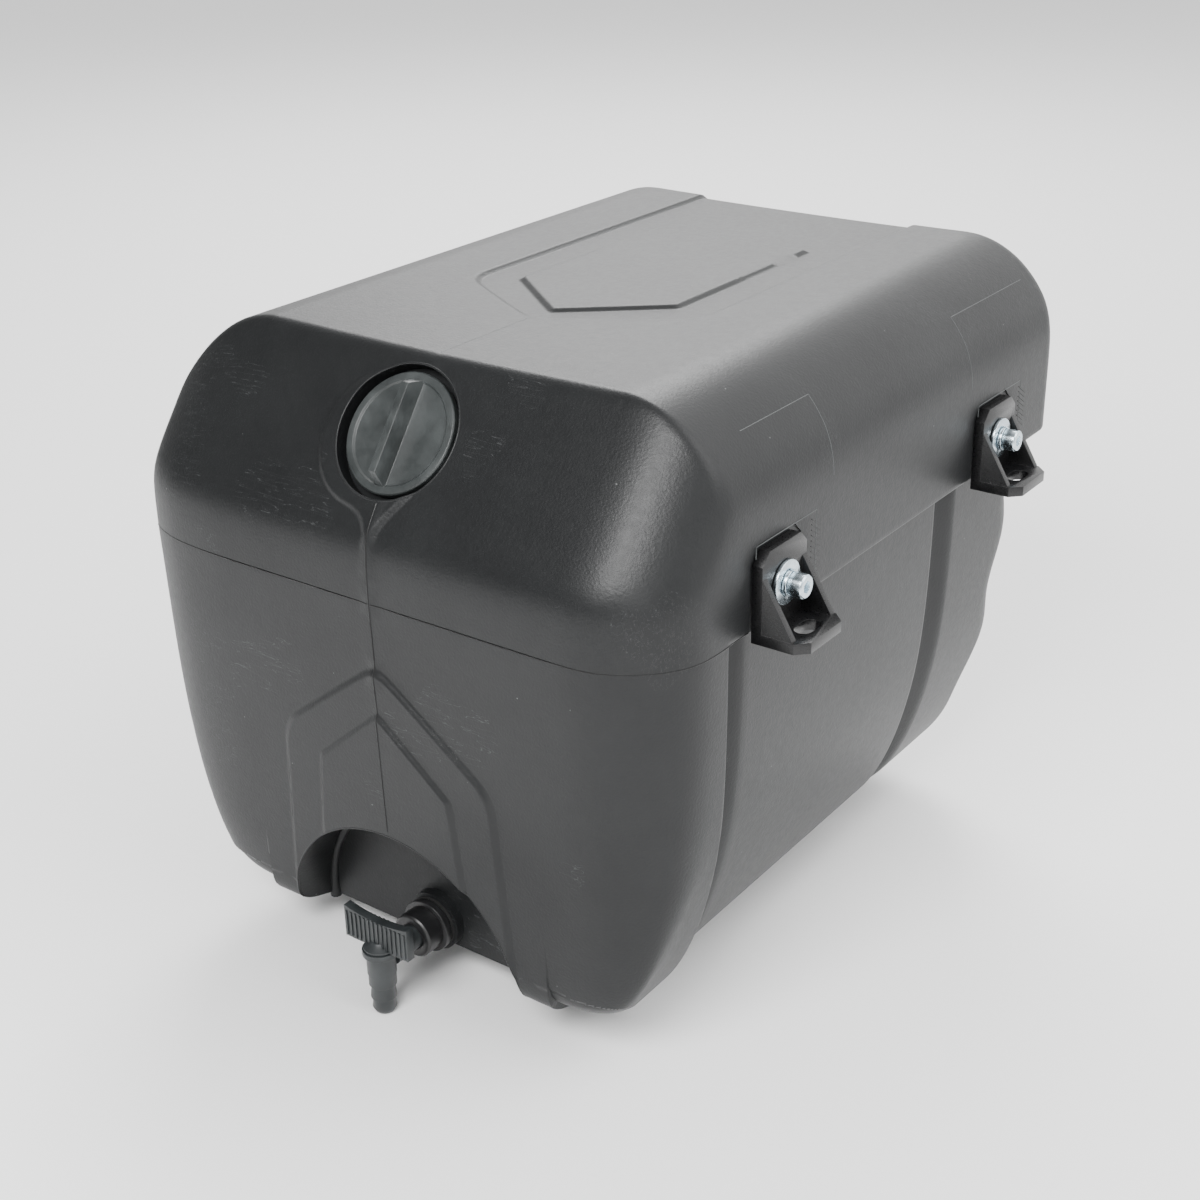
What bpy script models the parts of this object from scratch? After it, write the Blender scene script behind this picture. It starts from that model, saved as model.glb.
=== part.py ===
"""Fresh water tank for a food truck: blow-moulded shell, screwed filler cap, four bracket
fixings and a plug tap. Metres, +Z up, +X to the tank's right, -Y to its front.

Every size below is set once. The model is drawn in the tank's own frame, where z = 0 is the
flat base and y = 0 the front face, and one empty carries it to the part's origin: the middle of
the footprint, at the height of the lowest point.
"""
import math

import bmesh
import bpy
from mathutils import Matrix, Vector

# ---- shell -------------------------------------------------------------------------------
WIDTH = 0.370               # across the two sides at the ledge
LENGTH = 0.448              # front face to rear face at the ledge
HEIGHT = 0.356              # base to top
WALL = 0.004                # blow-moulded wall
LEDGE_DROP = 0.121          # the mould seam and the ledge along the sides, below the top
TOP_FLAT = 0.240            # width of the flat top between its rounded shoulders
SHOULDER_DROP = 0.079       # how far the rounded shoulders reach down from the top
BASE_FLAT = 0.208           # width of the flat base between the rounded lower sides
SIDE_ROUND_RISE = 0.007     # above the ledge, where the lower sides start to curve in
SIDE_ROUND_POWER = 2.3      # 2 is an ellipse, more is squarer
SLOPE_DROP = 0.085          # front slope: height below the top where it starts
SLOPE_SETBACK = 0.064       # front slope: how far back it meets the top
FRONT_CORNER_RIGHT = (0.065, 0.065)     # front right corner in plan: across, deep
FRONT_CORNER_LEFT = (0.078, 0.028)      # front left corner in plan: across, deep
FRONT_LEAN = 0.030          # setback of the lower front for each metre of height
FRONT_BASE_ROUND = 0.036    # radius between front face and base
REAR_ROUND = 0.014          # radius of the rear edges
SIDE_STEP = 0.0095          # ledge depth on the sides, behind the front block
REAR_STEP = 0.024           # ledge depth at the rear
FRONT_BLOCK = 0.066         # length of the full-width front block
REAR_LEAN = 0.10            # lean of the lower rear face
REAR_WAVE = 0.0042          # depth of the rear stiffening waves, either way
REAR_WAVE_PITCH = 0.0735
REAR_WAVE_DROP = 0.060      # the uppermost crest, below the ledge
GROOVE_DEPTH = 0.007
FRONT_GROOVE_START = 0.0662
REAR_GROOVE_SETBACK = 0.145 # its start, from the rear face
GROOVE_LENGTH = 0.026
EDGE_CLEAR = 0.0006         # keeps the crossing outlines from sharing a face

# ---- filler ------------------------------------------------------------------------------
FILLER_UP_SLOPE = 0.061     # crease to filler centre, along the slope
FILLER_X = -0.0055          # filler centre from the middle plane
POCKET_CLEAR = 0.0041       # round the cap
POCKET_DEPTH = 0.010
NECK_BORE = 0.026
NECK_LENGTH = 0.016         # below the pocket floor
CAP_LIP = 0.0080            # cap beyond the neck's bore
CAP_THICKNESS = 0.005
CAP_SINK = 0.0025           # cap face below the slope
CAP_SKIRT_LENGTH = 0.016
CAP_SKIRT_WALL = 0.003
CAP_DISH = 0.0010
CAP_RIM = 0.0055
THREAD_CLEAR = 0.0004
GRIP_LENGTH = 0.0610
GRIP_BASE = 0.0068
GRIP_TOP = 0.0046
GRIP_HEIGHT = 0.0105
GASKET_WIDTH = 0.0040

# ---- brackets and their fixings ------------------------------------------------------------
FRONT_BRACKET_Y = 0.1075
REAR_BRACKET_SETBACK = 0.091
BOLT_RISE = 0.0215          # above the ledge
POCKET_FLOOR = 0.005        # bracket pocket depth in the side
PLATE_WIDTH = 0.043
PLATE_THICKNESS = 0.0060
PLATE_TOP = 0.0217          # above the bolt
PLATE_CLIP = 0.0065
FLANGE_BOTTOM = 0.0275      # below the bolt
FLANGE_THICKNESS = 0.006
FLANGE_REACH = 0.0250       # from the plate's face
FLANGE_CLIP = 0.0065
GUSSET = 0.004
GUSSET_TOP = 0.0100         # gusset's top above the bolt
SLOT_LENGTH = 0.018
SLOT_WIDTH = 0.010
BOLT_CLEAR = 0.0007
POCKET_MARGIN = 0.003
POCKET_DROP = 0.035         # how far the pocket runs below the bolt, past the ledge
THREAD_RADIUS = 0.004       # M8
HEAD_HEIGHT = 0.008
HEX_DEPTH = 0.0045
SHANK_LENGTH = 0.022
WASHER_THICKNESS = 0.002
SPRING_WASHER_THICKNESS = 0.0022
SPRING_WASHER_GAP = 0.0012
INSERT_WALL = 0.0025
INSERT_LENGTH = 0.015
INSERT_FLOOR = 0.001
BOSS_WALL = 0.004

# ---- tap niche and tap -------------------------------------------------------------------
NICHE_RADIUS = 0.085
NICHE_CENTRE_Z = 0.009
NICHE_DEPTH = 0.040
TAP_Z = 0.019               # axis of the neck above the base
TAP_AXIS_Y = -0.011         # vertical axis of plug, handle and spout
OUTLET_BOSS_LENGTH = 0.0058
ADAPTOR_TAIL_RADIUS = 0.0090
ADAPTOR_WALL = 0.0025
ADAPTOR_INSIDE = 0.008      # tail reach inside the tank
ADAPTOR_FLANGE_LIP = 0.0072
ADAPTOR_FLANGE = 0.0045
OUTLET_GASKET = 0.0018
STUB_STEP = 0.0012          # stub beyond the tail
STUB_LENGTH = 0.0050
UNION_SEAL = 0.0015
TAP_COLLAR = 0.0020
NUT_WALL = 0.0033
NUT_SHOULDER = 0.0028
NUT_CHAMFER = 0.0012
GASKET_STEP = 0.002         # outlet gasket inside its boss's edge
TAP_NECK_RADIUS = 0.0075
TAP_NECK_BORE = 0.0045
BARREL_WALL = 0.0018
BARREL_BORE = 0.0066
BARREL_TOP = 0.0275         # above the base
BARREL_LIP = 0.0021
BARREL_FLANGE = 0.0035
BARREL_FLOOR = 0.0040
SPOUT_TIP_Z = -0.0150       # below the base
SPOUT_BORE = 0.0048
SPOUT_RADII = (0.0080, 0.0075, 0.0070)
SPOUT_BARB = 0.0007
PLUG_CLEAR = 0.0003
PLUG_WALL = 0.0023
PLUG_PORT = 0.0034
PLUG_CROWN = 0.0006         # hollow above the port
RING_SECTION = 0.0010
HANDLE_DISC = 0.0012
HUB_RADIUS = 0.0042
HUB_HEIGHT = 0.0042
HANDLE_LENGTH = 0.0465
HANDLE_HEIGHT = 0.0212
HANDLE_THICKNESS = 0.0056
HANDLE_DIP = 0.0030

GAP = 0.0003                # between touching pieces
CHAMFER = 0.0008            # broken edges of turned pieces
OVERCUT = 0.02              # how far a cutter passes the face it leaves
SMALL_ROUND = 24            # segments of a small round piece
ROUND = 32                  # segments of a round piece
FINE_ROUND = 48

# ---- derived -----------------------------------------------------------------------------
HALF = WIDTH / 2
LEDGE_Z = HEIGHT - LEDGE_DROP
SIDE_ROUND_Z = LEDGE_Z + SIDE_ROUND_RISE
REAR_WAVE_TOP = LEDGE_Z - REAR_WAVE_DROP
GROOVE_STARTS = (FRONT_GROOVE_START, LENGTH - REAR_GROOVE_SETBACK)
BRACKET_YS = {"front": FRONT_BRACKET_Y, "rear": LENGTH - REAR_BRACKET_SETBACK}
BOLT_Z = LEDGE_Z + BOLT_RISE
CAP_RADIUS = NECK_BORE + CAP_LIP
POCKET_RADIUS = CAP_RADIUS + POCKET_CLEAR
BOLT_HOLE = THREAD_RADIUS + BOLT_CLEAR
HEAD_RADIUS = THREAD_RADIUS * 1.625
HEX_FLATS = THREAD_RADIUS * 1.5                    # across flats
WASHER_RADIUS = THREAD_RADIUS * 3
SPRING_WASHER_RADIUS = THREAD_RADIUS * 1.8
INSERT_RADIUS = THREAD_RADIUS + INSERT_WALL
ADAPTOR_BORE = ADAPTOR_TAIL_RADIUS - ADAPTOR_WALL
ADAPTOR_FLANGE_RADIUS = ADAPTOR_TAIL_RADIUS + ADAPTOR_FLANGE_LIP
OUTLET_BOSS_RADIUS = ADAPTOR_FLANGE_RADIUS + GASKET_STEP
STUB_RADIUS = ADAPTOR_TAIL_RADIUS + STUB_STEP
TAP_COLLAR_RADIUS = STUB_RADIUS - THREAD_CLEAR
NUT_RADIUS = STUB_RADIUS + NUT_WALL
BARREL_RADIUS = BARREL_BORE + BARREL_WALL
BARREL_FLANGE_RADIUS = BARREL_RADIUS + BARREL_LIP
PLUG_BORE = BARREL_BORE - PLUG_CLEAR - PLUG_WALL
CREASE_Z = HEIGHT - SLOPE_DROP
SLOPE = SLOPE_SETBACK / SLOPE_DROP
SLOPE_ANGLE = math.atan(SLOPE)                     # from vertical
SLOPE_DIR = Vector((0, math.sin(SLOPE_ANGLE), math.cos(SLOPE_ANGLE)))
SLOPE_NORMAL = Vector((0, -math.cos(SLOPE_ANGLE), math.sin(SLOPE_ANGLE)))
FILLER_CENTRE = Vector((FILLER_X, 0, CREASE_Z)) + SLOPE_DIR * FILLER_UP_SLOPE
FILLER_MATRIX = (Matrix.Translation(FILLER_CENTRE)
                 @ Matrix.Rotation(math.pi / 2 - SLOPE_ANGLE, 4, "X"))
PLATE_FACE = HALF - POCKET_FLOOR + GAP + PLATE_THICKNESS
NICHE_BACK = NICHE_DEPTH
BOSS_FACE = NICHE_BACK - OUTLET_BOSS_LENGTH
FRONT_REACH = TAP_AXIS_Y - BARREL_FLANGE_RADIUS
ORIGIN = Vector((0, -(FRONT_REACH + LENGTH) / 2, -SPOUT_TIP_Z))
TOWARDS_FRONT = Matrix.Rotation(math.pi / 2, 4, "X")    # turns +Z to -Y


# ---- scene and small tools ----------------------------------------------------------------
def clear_scene():
    for item in list(bpy.data.objects):
        bpy.data.objects.remove(item, do_unlink=True)


def collection(name):
    found = bpy.data.collections.new(name)
    bpy.context.scene.collection.children.link(found)
    return found


def material(name, colour, roughness, metallic=0.0):
    made = bpy.data.materials.new(name)
    made.use_nodes = True
    shader = made.node_tree.nodes["Principled BSDF"]
    shader.inputs["Base Color"].default_value = (*colour, 1)
    shader.inputs["Roughness"].default_value = roughness
    shader.inputs["Metallic"].default_value = metallic
    return made


def add_object(name, mesh, where, finish=None, matrix=None):
    item = bpy.data.objects.new(name, mesh)
    where.objects.link(item)
    if matrix is not None:
        item.matrix_world = matrix
    if finish is not None:
        item.data.materials.clear()
        item.data.materials.append(finish)
    return item


def as_cutter(item):
    item.hide_render = True
    item.display_type = "WIRE"
    return item


def outline_solid(name, points, thickness, where, matrix, finish=None):
    """A flat outline with a thickness, standing from the matrix's XY plane along its Z."""
    curve = bpy.data.curves.new(name, "CURVE")
    curve.dimensions = "2D"
    curve.fill_mode = "BOTH"
    curve.extrude = thickness / 2
    spline = curve.splines.new("POLY")
    spline.points.add(len(points) - 1)
    for point, (u, v) in zip(spline.points, points):
        point.co = (u, v, 0, 1)
    spline.use_cyclic_u = True
    drawn = bpy.data.objects.new(name + "_outline", curve)
    where.objects.link(drawn)
    bpy.context.view_layer.update()
    evaluated = drawn.evaluated_get(bpy.context.evaluated_depsgraph_get())
    mesh = bpy.data.meshes.new_from_object(evaluated)
    bpy.data.objects.remove(drawn, do_unlink=True)
    body = bmesh.new()
    body.from_mesh(mesh)
    bmesh.ops.remove_doubles(body, verts=body.verts, dist=1e-6)
    bmesh.ops.translate(body, verts=body.verts, vec=(0, 0, thickness / 2))
    bmesh.ops.recalc_face_normals(body, faces=body.faces)
    body.to_mesh(mesh)
    body.free()
    return add_object(name, mesh, where, finish, matrix)


def turned(name, profile, where, matrix, finish=None, segments=ROUND, closed=True):
    """A profile of (radius, height) points turned round the matrix's Z axis."""
    mesh = bpy.data.meshes.new(name)
    body = bmesh.new()
    dots = [body.verts.new((r, 0, h)) for r, h in profile]
    for first, second in zip(dots, dots[1:] + ([dots[0]] if closed else [])):
        body.edges.new((first, second))
    body.to_mesh(mesh)
    body.free()
    item = add_object(name, mesh, where, finish, matrix)
    screw = item.modifiers.new("Turn", "SCREW")
    screw.steps = segments
    screw.render_steps = segments
    screw.use_merge_vertices = True
    screw.merge_threshold = 1e-6
    screw.use_smooth_shade = True
    return item


def cylinder(name, radius, low, high, where, matrix, segments=ROUND, finish=None):
    mesh = bpy.data.meshes.new(name)
    body = bmesh.new()
    bmesh.ops.create_cone(body, cap_ends=True, segments=segments, radius1=radius,
                          radius2=radius, depth=high - low)
    bmesh.ops.translate(body, verts=body.verts, vec=(0, 0, (low + high) / 2))
    body.to_mesh(mesh)
    body.free()
    return add_object(name, mesh, where, finish, matrix)


def box(name, low, high, where, finish=None):
    mesh = bpy.data.meshes.new(name)
    body = bmesh.new()
    bmesh.ops.create_cube(body, size=1)
    size = [b - a for a, b in zip(low, high)]
    middle = [(a + b) / 2 for a, b in zip(low, high)]
    bmesh.ops.scale(body, verts=body.verts, vec=size)
    bmesh.ops.translate(body, verts=body.verts, vec=middle)
    body.to_mesh(mesh)
    body.free()
    return add_object(name, mesh, where, finish)


def boolean(target, operation, cutter):
    step = target.modifiers.new(cutter.name, "BOOLEAN")
    step.operation = operation
    step.solver = "EXACT"
    step.object = cutter
    return target


def arc(centre, radius_u, radius_v, start, end, steps, power=2.0):
    """Points of a rounded corner; a power over 2 makes it squarer."""
    points = []
    for index in range(steps + 1):
        angle = math.radians(start + (end - start) * index / steps)
        cos, sin = math.cos(angle), math.sin(angle)
        points.append((centre[0] + radius_u * math.copysign(abs(cos) ** (2 / power), cos),
                       centre[1] + radius_v * math.copysign(abs(sin) ** (2 / power), sin)))
    return points


def mirrored(points):
    """A right half, listed from the top to the base, with its left half added."""
    return points + [(-u, v) for u, v in reversed(points)]


# ---- the shell's outlines, each drawn at an inset from the outside -------------------------
XZ = Matrix.Rotation(math.pi / 2, 4, "X")          # outline X, Y to world X, Z; out along -Y
YZ = Matrix(((0, 0, 1, 0), (1, 0, 0, 0), (0, 1, 0, 0), (0, 0, 0, 1)))


def lower_side(inset, step, steps=7):
    """The lower side's curve from its start down to the base, as (x, z)."""
    reach = HALF - BASE_FLAT / 2 - inset
    depth = SIDE_ROUND_Z - inset
    centre = (BASE_FLAT / 2 - step, SIDE_ROUND_Z)
    return arc(centre, reach, depth, 0, -90, steps, SIDE_ROUND_POWER)


def front_outline(inset):
    """The tank seen from the front."""
    shoulder_centre = (TOP_FLAT / 2, HEIGHT - SHOULDER_DROP)
    shoulder = arc(shoulder_centre, HALF - TOP_FLAT / 2 - inset, SHOULDER_DROP - inset,
                   90, 0, 6)
    return mirrored(shoulder + lower_side(inset, 0.0))


def side_outline(inset):
    """The tank seen from its right: the base's front round, the top and the rear edge."""
    rear = LENGTH + EDGE_CLEAR - inset
    lean_low = FRONT_LEAN * LEDGE_Z + inset
    over = 0.02
    points = arc((lean_low + FRONT_BASE_ROUND, inset + FRONT_BASE_ROUND),
                 FRONT_BASE_ROUND, FRONT_BASE_ROUND, 270, 180, 5)
    points.append((inset - FRONT_LEAN * (HEIGHT + over - LEDGE_Z), HEIGHT + over))
    points.append((SLOPE_SETBACK / 2, HEIGHT + over))
    points.append((SLOPE_SETBACK / 2, HEIGHT - inset))
    points += arc((rear - REAR_ROUND, HEIGHT - inset - REAR_ROUND), REAR_ROUND, REAR_ROUND,
                  90, 0, 4)
    points.append((rear, inset))
    return points


def plan_outline(inset):
    """The tank seen from above, clear of the side outlines."""
    half = HALF + EDGE_CLEAR - inset
    rear = LENGTH - inset
    rear_corner = arc((half - REAR_ROUND, rear - REAR_ROUND), REAR_ROUND, REAR_ROUND, 0, 90, 3)
    sides = []
    for across, deep in (FRONT_CORNER_RIGHT, FRONT_CORNER_LEFT):
        across -= inset
        deep -= inset
        front_corner = arc((half - across, inset + deep), across, deep, 270, 360, 8)
        sides.append(front_corner + rear_corner)
    right, left = sides
    return right + [(-u, v) for u, v in reversed(left)]


def plan_block(name, inset, where, finish=None):
    """The plan outline raised to the crease, then sheared back to make the front slope."""
    points = plan_outline(inset)
    slope_shift = inset / math.cos(SLOPE_ANGLE)
    crease = CREASE_Z - (slope_shift - inset) / SLOPE
    top = HEIGHT + 0.01
    setback = (top - CREASE_Z) * SLOPE + slope_shift - inset
    middle = LENGTH / 2
    mesh = bpy.data.meshes.new(name)
    body = bmesh.new()
    base = body.faces.new([body.verts.new((u, v, -0.01)) for u, v in points])
    face = base
    for height, shift in ((crease, 0.0), (top, setback)):
        raised = bmesh.ops.extrude_face_region(body, geom=[face])
        if face is not base:
            bmesh.ops.delete(body, geom=[face], context="FACES_ONLY")
        face = next(g for g in raised["geom"] if isinstance(g, bmesh.types.BMFace))
        for vert in face.verts:
            vert.co.z = height
            if vert.co.y < middle:
                vert.co.y += shift
    bmesh.ops.recalc_face_normals(body, faces=body.faces)
    body.to_mesh(mesh)
    body.free()
    return add_object(name, mesh, where, finish)


def rear_face_y(z):
    """Outside of the waved lower rear face at a height."""
    wave = REAR_WAVE * math.cos(2 * math.pi * (z - REAR_WAVE_TOP) / REAR_WAVE_PITCH)
    foot = FRONT_BASE_ROUND
    tuck = 0.0
    if z < foot:
        tuck = foot - math.sqrt(max(foot ** 2 - (foot - max(z, 0.0)) ** 2, 0.0))
    return LENGTH - REAR_STEP - REAR_LEAN * (LEDGE_Z - z) + wave - tuck


def rear_cutter(name, inset, where):
    """What is taken off the rear below the ledge."""
    steps = 18
    far = LENGTH + 0.05
    points = [(far, -0.02), (rear_face_y(inset) - inset, -0.02)]
    for index in range(steps + 1):
        z = inset + LEDGE_Z * index / steps
        points.append((rear_face_y(z - inset) - inset, z))
    points.append((far, LEDGE_Z + inset))
    width = WIDTH + 0.1
    return outline_solid(name, points, width, where,
                         Matrix.Translation((-width / 2, 0, 0)) @ YZ)


def side_frame(name, inset, step, span, where):
    """A block below the ledge with the stepped-in lower sides left out of it, which takes
    the material outside them off the shell between two places along its length."""
    low_y, high_y = span
    curve = lower_side(inset, step)
    start = (curve[0][0], LEDGE_Z + 0.03)
    half = [start] + [(x, z) for x, z in curve if z < LEDGE_Z - 0.002]
    half[1:1] = [(curve[0][0], SIDE_ROUND_Z)]
    base = (half[-1][0], -0.03)
    kept = outline_solid(name + "_kept", mirrored(half + [base]), high_y - low_y + 0.04, where,
                         Matrix.Translation((0, high_y + 0.02, 0)) @ XZ)
    taken = box(name, (-WIDTH, low_y, -0.02), (WIDTH, high_y, LEDGE_Z + inset), where)
    boolean(taken, "DIFFERENCE", as_cutter(kept))
    return taken


def groove_wedge(name, start, inset, where):
    """A side groove: a square front wall, then a floor that runs out to the panel."""
    depth = SIDE_STEP + GROOVE_DEPTH
    return side_frame(name, inset, depth, (start - inset, start + GROOVE_LENGTH + inset), where)


def shaped_block(name, inset, where, finish=None):
    """The whole outer form at an inset: outlines, ledge, grooves and rear waves."""
    form = plan_block(name, inset, where, finish)
    seen_front = outline_solid(name + "_front", front_outline(inset), LENGTH + 0.2, CUTTERS,
                               Matrix.Translation((0, LENGTH + 0.1, 0)) @ XZ)
    seen_side = outline_solid(name + "_side", side_outline(inset), WIDTH + 0.2, CUTTERS,
                              Matrix.Translation((-WIDTH / 2 - 0.1, 0, 0)) @ YZ)
    boolean(form, "INTERSECT", as_cutter(seen_front))
    boolean(form, "INTERSECT", as_cutter(seen_side))
    steps = side_frame(name + "_ledge", inset, SIDE_STEP,
                       (FRONT_BLOCK - inset, LENGTH + 0.1), CUTTERS)
    boolean(form, "DIFFERENCE", as_cutter(steps))
    for index, start in enumerate(GROOVE_STARTS, 1):
        groove = groove_wedge(f"{name}_groove_{index}", start, inset, CUTTERS)
        boolean(form, "DIFFERENCE", as_cutter(groove))
    boolean(form, "DIFFERENCE", as_cutter(rear_cutter(name + "_rear", inset, CUTTERS)))
    return form


def niche_block(name, grow, where):
    radius = NICHE_RADIUS + grow
    points = arc((0, NICHE_CENTRE_Z), radius, radius, 180, 0, 14)
    points += [(radius, -0.03), (-radius, -0.03)]
    back = NICHE_BACK + grow
    return outline_solid(name, points, back + 0.05, where,
                         Matrix.Translation((0, back, 0)) @ XZ)


def plate_outline(grow, bottom):
    """A bracket's back plate seen from the side, about its bolt."""
    half = PLATE_WIDTH / 2 + grow
    top = PLATE_TOP + grow
    clip = PLATE_CLIP + grow * (2 - math.sqrt(2))
    return [(-half, -bottom), (half, -bottom), (half, top - clip), (half - clip, top),
            (clip - half, top), (-half, top - clip)]


def side_place(side, y, x, z=BOLT_Z):
    """A matrix at a place on one side, its Z pointing out of the tank and its X along Y."""
    turn = YZ if side > 0 else YZ @ Matrix.Rotation(math.pi, 4, "Y")
    return Matrix.Translation((side * x, y, z)) @ turn


def bracket_places():
    for end, y in BRACKET_YS.items():
        for side_name, side in (("right", 1), ("left", -1)):
            yield f"{end}_{side_name}", side, y


def tank_shell(finish):
    shell = shaped_block("tank_shell", 0.0, PARTS, finish)
    cavity = shaped_block("cavity", WALL, CUTTERS)

    niche = niche_block("niche", 0.0, CUTTERS)
    boolean(shell, "DIFFERENCE", as_cutter(niche))
    boolean(cavity, "DIFFERENCE", as_cutter(niche_block("niche_wall", WALL, CUTTERS)))

    pocket_wall = cylinder("pocket_wall", POCKET_RADIUS + WALL, -POCKET_DEPTH - WALL, 0.03,
                           CUTTERS, FILLER_MATRIX, ROUND)
    neck_wall = cylinder("neck_wall", NECK_BORE + WALL, -POCKET_DEPTH - NECK_LENGTH, -0.001,
                         CUTTERS, FILLER_MATRIX, ROUND)
    boolean(cavity, "DIFFERENCE", as_cutter(pocket_wall))
    boolean(cavity, "DIFFERENCE", as_cutter(neck_wall))

    for name, side, y in bracket_places():
        floor = HALF - POCKET_FLOOR
        depth = INSERT_LENGTH + 2 * GAP
        pad = outline_solid("pad_" + name, plate_outline(POCKET_MARGIN + WALL, POCKET_DROP + 0.01), 0.03,
                            CUTTERS, side_place(side, y, floor - WALL))
        boss = cylinder("boss_" + name, INSERT_RADIUS + GAP + BOSS_WALL, -depth - BOSS_WALL,
                        0.01, CUTTERS, side_place(side, y, floor), SMALL_ROUND)
        boolean(cavity, "DIFFERENCE", as_cutter(pad))
        boolean(cavity, "DIFFERENCE", as_cutter(boss))
    boolean(shell, "DIFFERENCE", as_cutter(cavity))

    outlet = Matrix.Translation((0, NICHE_BACK, TAP_Z)) @ TOWARDS_FRONT
    stub = cylinder("outlet_boss", OUTLET_BOSS_RADIUS, -WALL / 2, OUTLET_BOSS_LENGTH, CUTTERS,
                    outlet, ROUND)
    hole = cylinder("outlet_hole", ADAPTOR_TAIL_RADIUS + GAP, -0.02, 0.02, CUTTERS, outlet,
                    ROUND)
    boolean(shell, "UNION", as_cutter(stub))
    boolean(shell, "DIFFERENCE", as_cutter(hole))

    pocket = cylinder("filler_pocket", POCKET_RADIUS, -POCKET_DEPTH, 0.03, CUTTERS,
                      FILLER_MATRIX, ROUND)
    bore = cylinder("filler_bore", NECK_BORE, -0.06, 0.02, CUTTERS, FILLER_MATRIX, ROUND)
    boolean(shell, "DIFFERENCE", as_cutter(pocket))
    boolean(shell, "DIFFERENCE", as_cutter(bore))

    for name, side, y in bracket_places():
        floor = HALF - POCKET_FLOOR
        cut = outline_solid("cut_" + name, plate_outline(POCKET_MARGIN, POCKET_DROP), OVERCUT, CUTTERS,
                            side_place(side, y, floor))
        hole = cylinder("insert_hole_" + name, INSERT_RADIUS + GAP, -INSERT_LENGTH - 2 * GAP,
                        0.01, CUTTERS, side_place(side, y, floor), SMALL_ROUND)
        boolean(shell, "DIFFERENCE", as_cutter(cut))
        boolean(shell, "DIFFERENCE", as_cutter(hole))
    return shell


# ---- filler cap --------------------------------------------------------------------------
def filler_cap(finish):
    face = -CAP_SINK
    under = face - CAP_THICKNESS
    skirt = NECK_BORE - THREAD_CLEAR
    inner = skirt - CAP_SKIRT_WALL
    dish = CAP_RADIUS - CAP_RIM
    profile = [(0, face - CAP_DISH), (dish, face - CAP_DISH), (dish + CAP_DISH, face),
               (CAP_RADIUS - CHAMFER, face), (CAP_RADIUS, face - CHAMFER),
               (CAP_RADIUS, under), (skirt, under), (skirt, under - CAP_SKIRT_LENGTH),
               (inner, under - CAP_SKIRT_LENGTH), (inner, under + CAP_DISH),
               (0, under + CAP_DISH)]
    cap = turned("filler_cap", profile, PARTS, FILLER_MATRIX, finish, FINE_ROUND, False)
    foot = face - CAP_DISH - 0.0006
    top = face - CAP_DISH + GRIP_HEIGHT
    hip = GRIP_HEIGHT * 0.55
    grip = outline_solid("grip", [(-GRIP_LENGTH / 2, foot), (GRIP_LENGTH / 2, foot),
                                  (GRIP_LENGTH / 2 - hip, top), (hip - GRIP_LENGTH / 2, top)],
                         GRIP_BASE, CUTTERS,
                         FILLER_MATRIX @ Matrix.Translation((-GRIP_BASE / 2, 0, 0)) @ YZ)
    taper = math.atan((GRIP_BASE - GRIP_TOP) / 2 / GRIP_HEIGHT)
    for side in (1, -1):
        lean = (FILLER_MATRIX @ Matrix.Translation((side * GRIP_BASE / 2, 0, foot))
                @ Matrix.Rotation(-side * taper, 4, "Y"))
        low, high = sorted((0.0, side * 0.01))
        flank = box(f"grip_flank_{'right' if side > 0 else 'left'}", (low, -0.05, -0.01),
                    (high, 0.05, 0.03), CUTTERS)
        flank.matrix_world = lean
        boolean(grip, "DIFFERENCE", as_cutter(flank))
    boolean(cap, "UNION", as_cutter(grip))
    return cap


def filler_gasket(finish):
    top = -CAP_SINK - CAP_THICKNESS - GAP
    low = -POCKET_DEPTH + GAP
    inner = NECK_BORE + GAP
    outer = inner + GASKET_WIDTH
    return turned("filler_gasket", [(outer, top), (outer, low), (inner, low), (inner, top)],
                  PARTS, FILLER_MATRIX, finish, FINE_ROUND)


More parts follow.
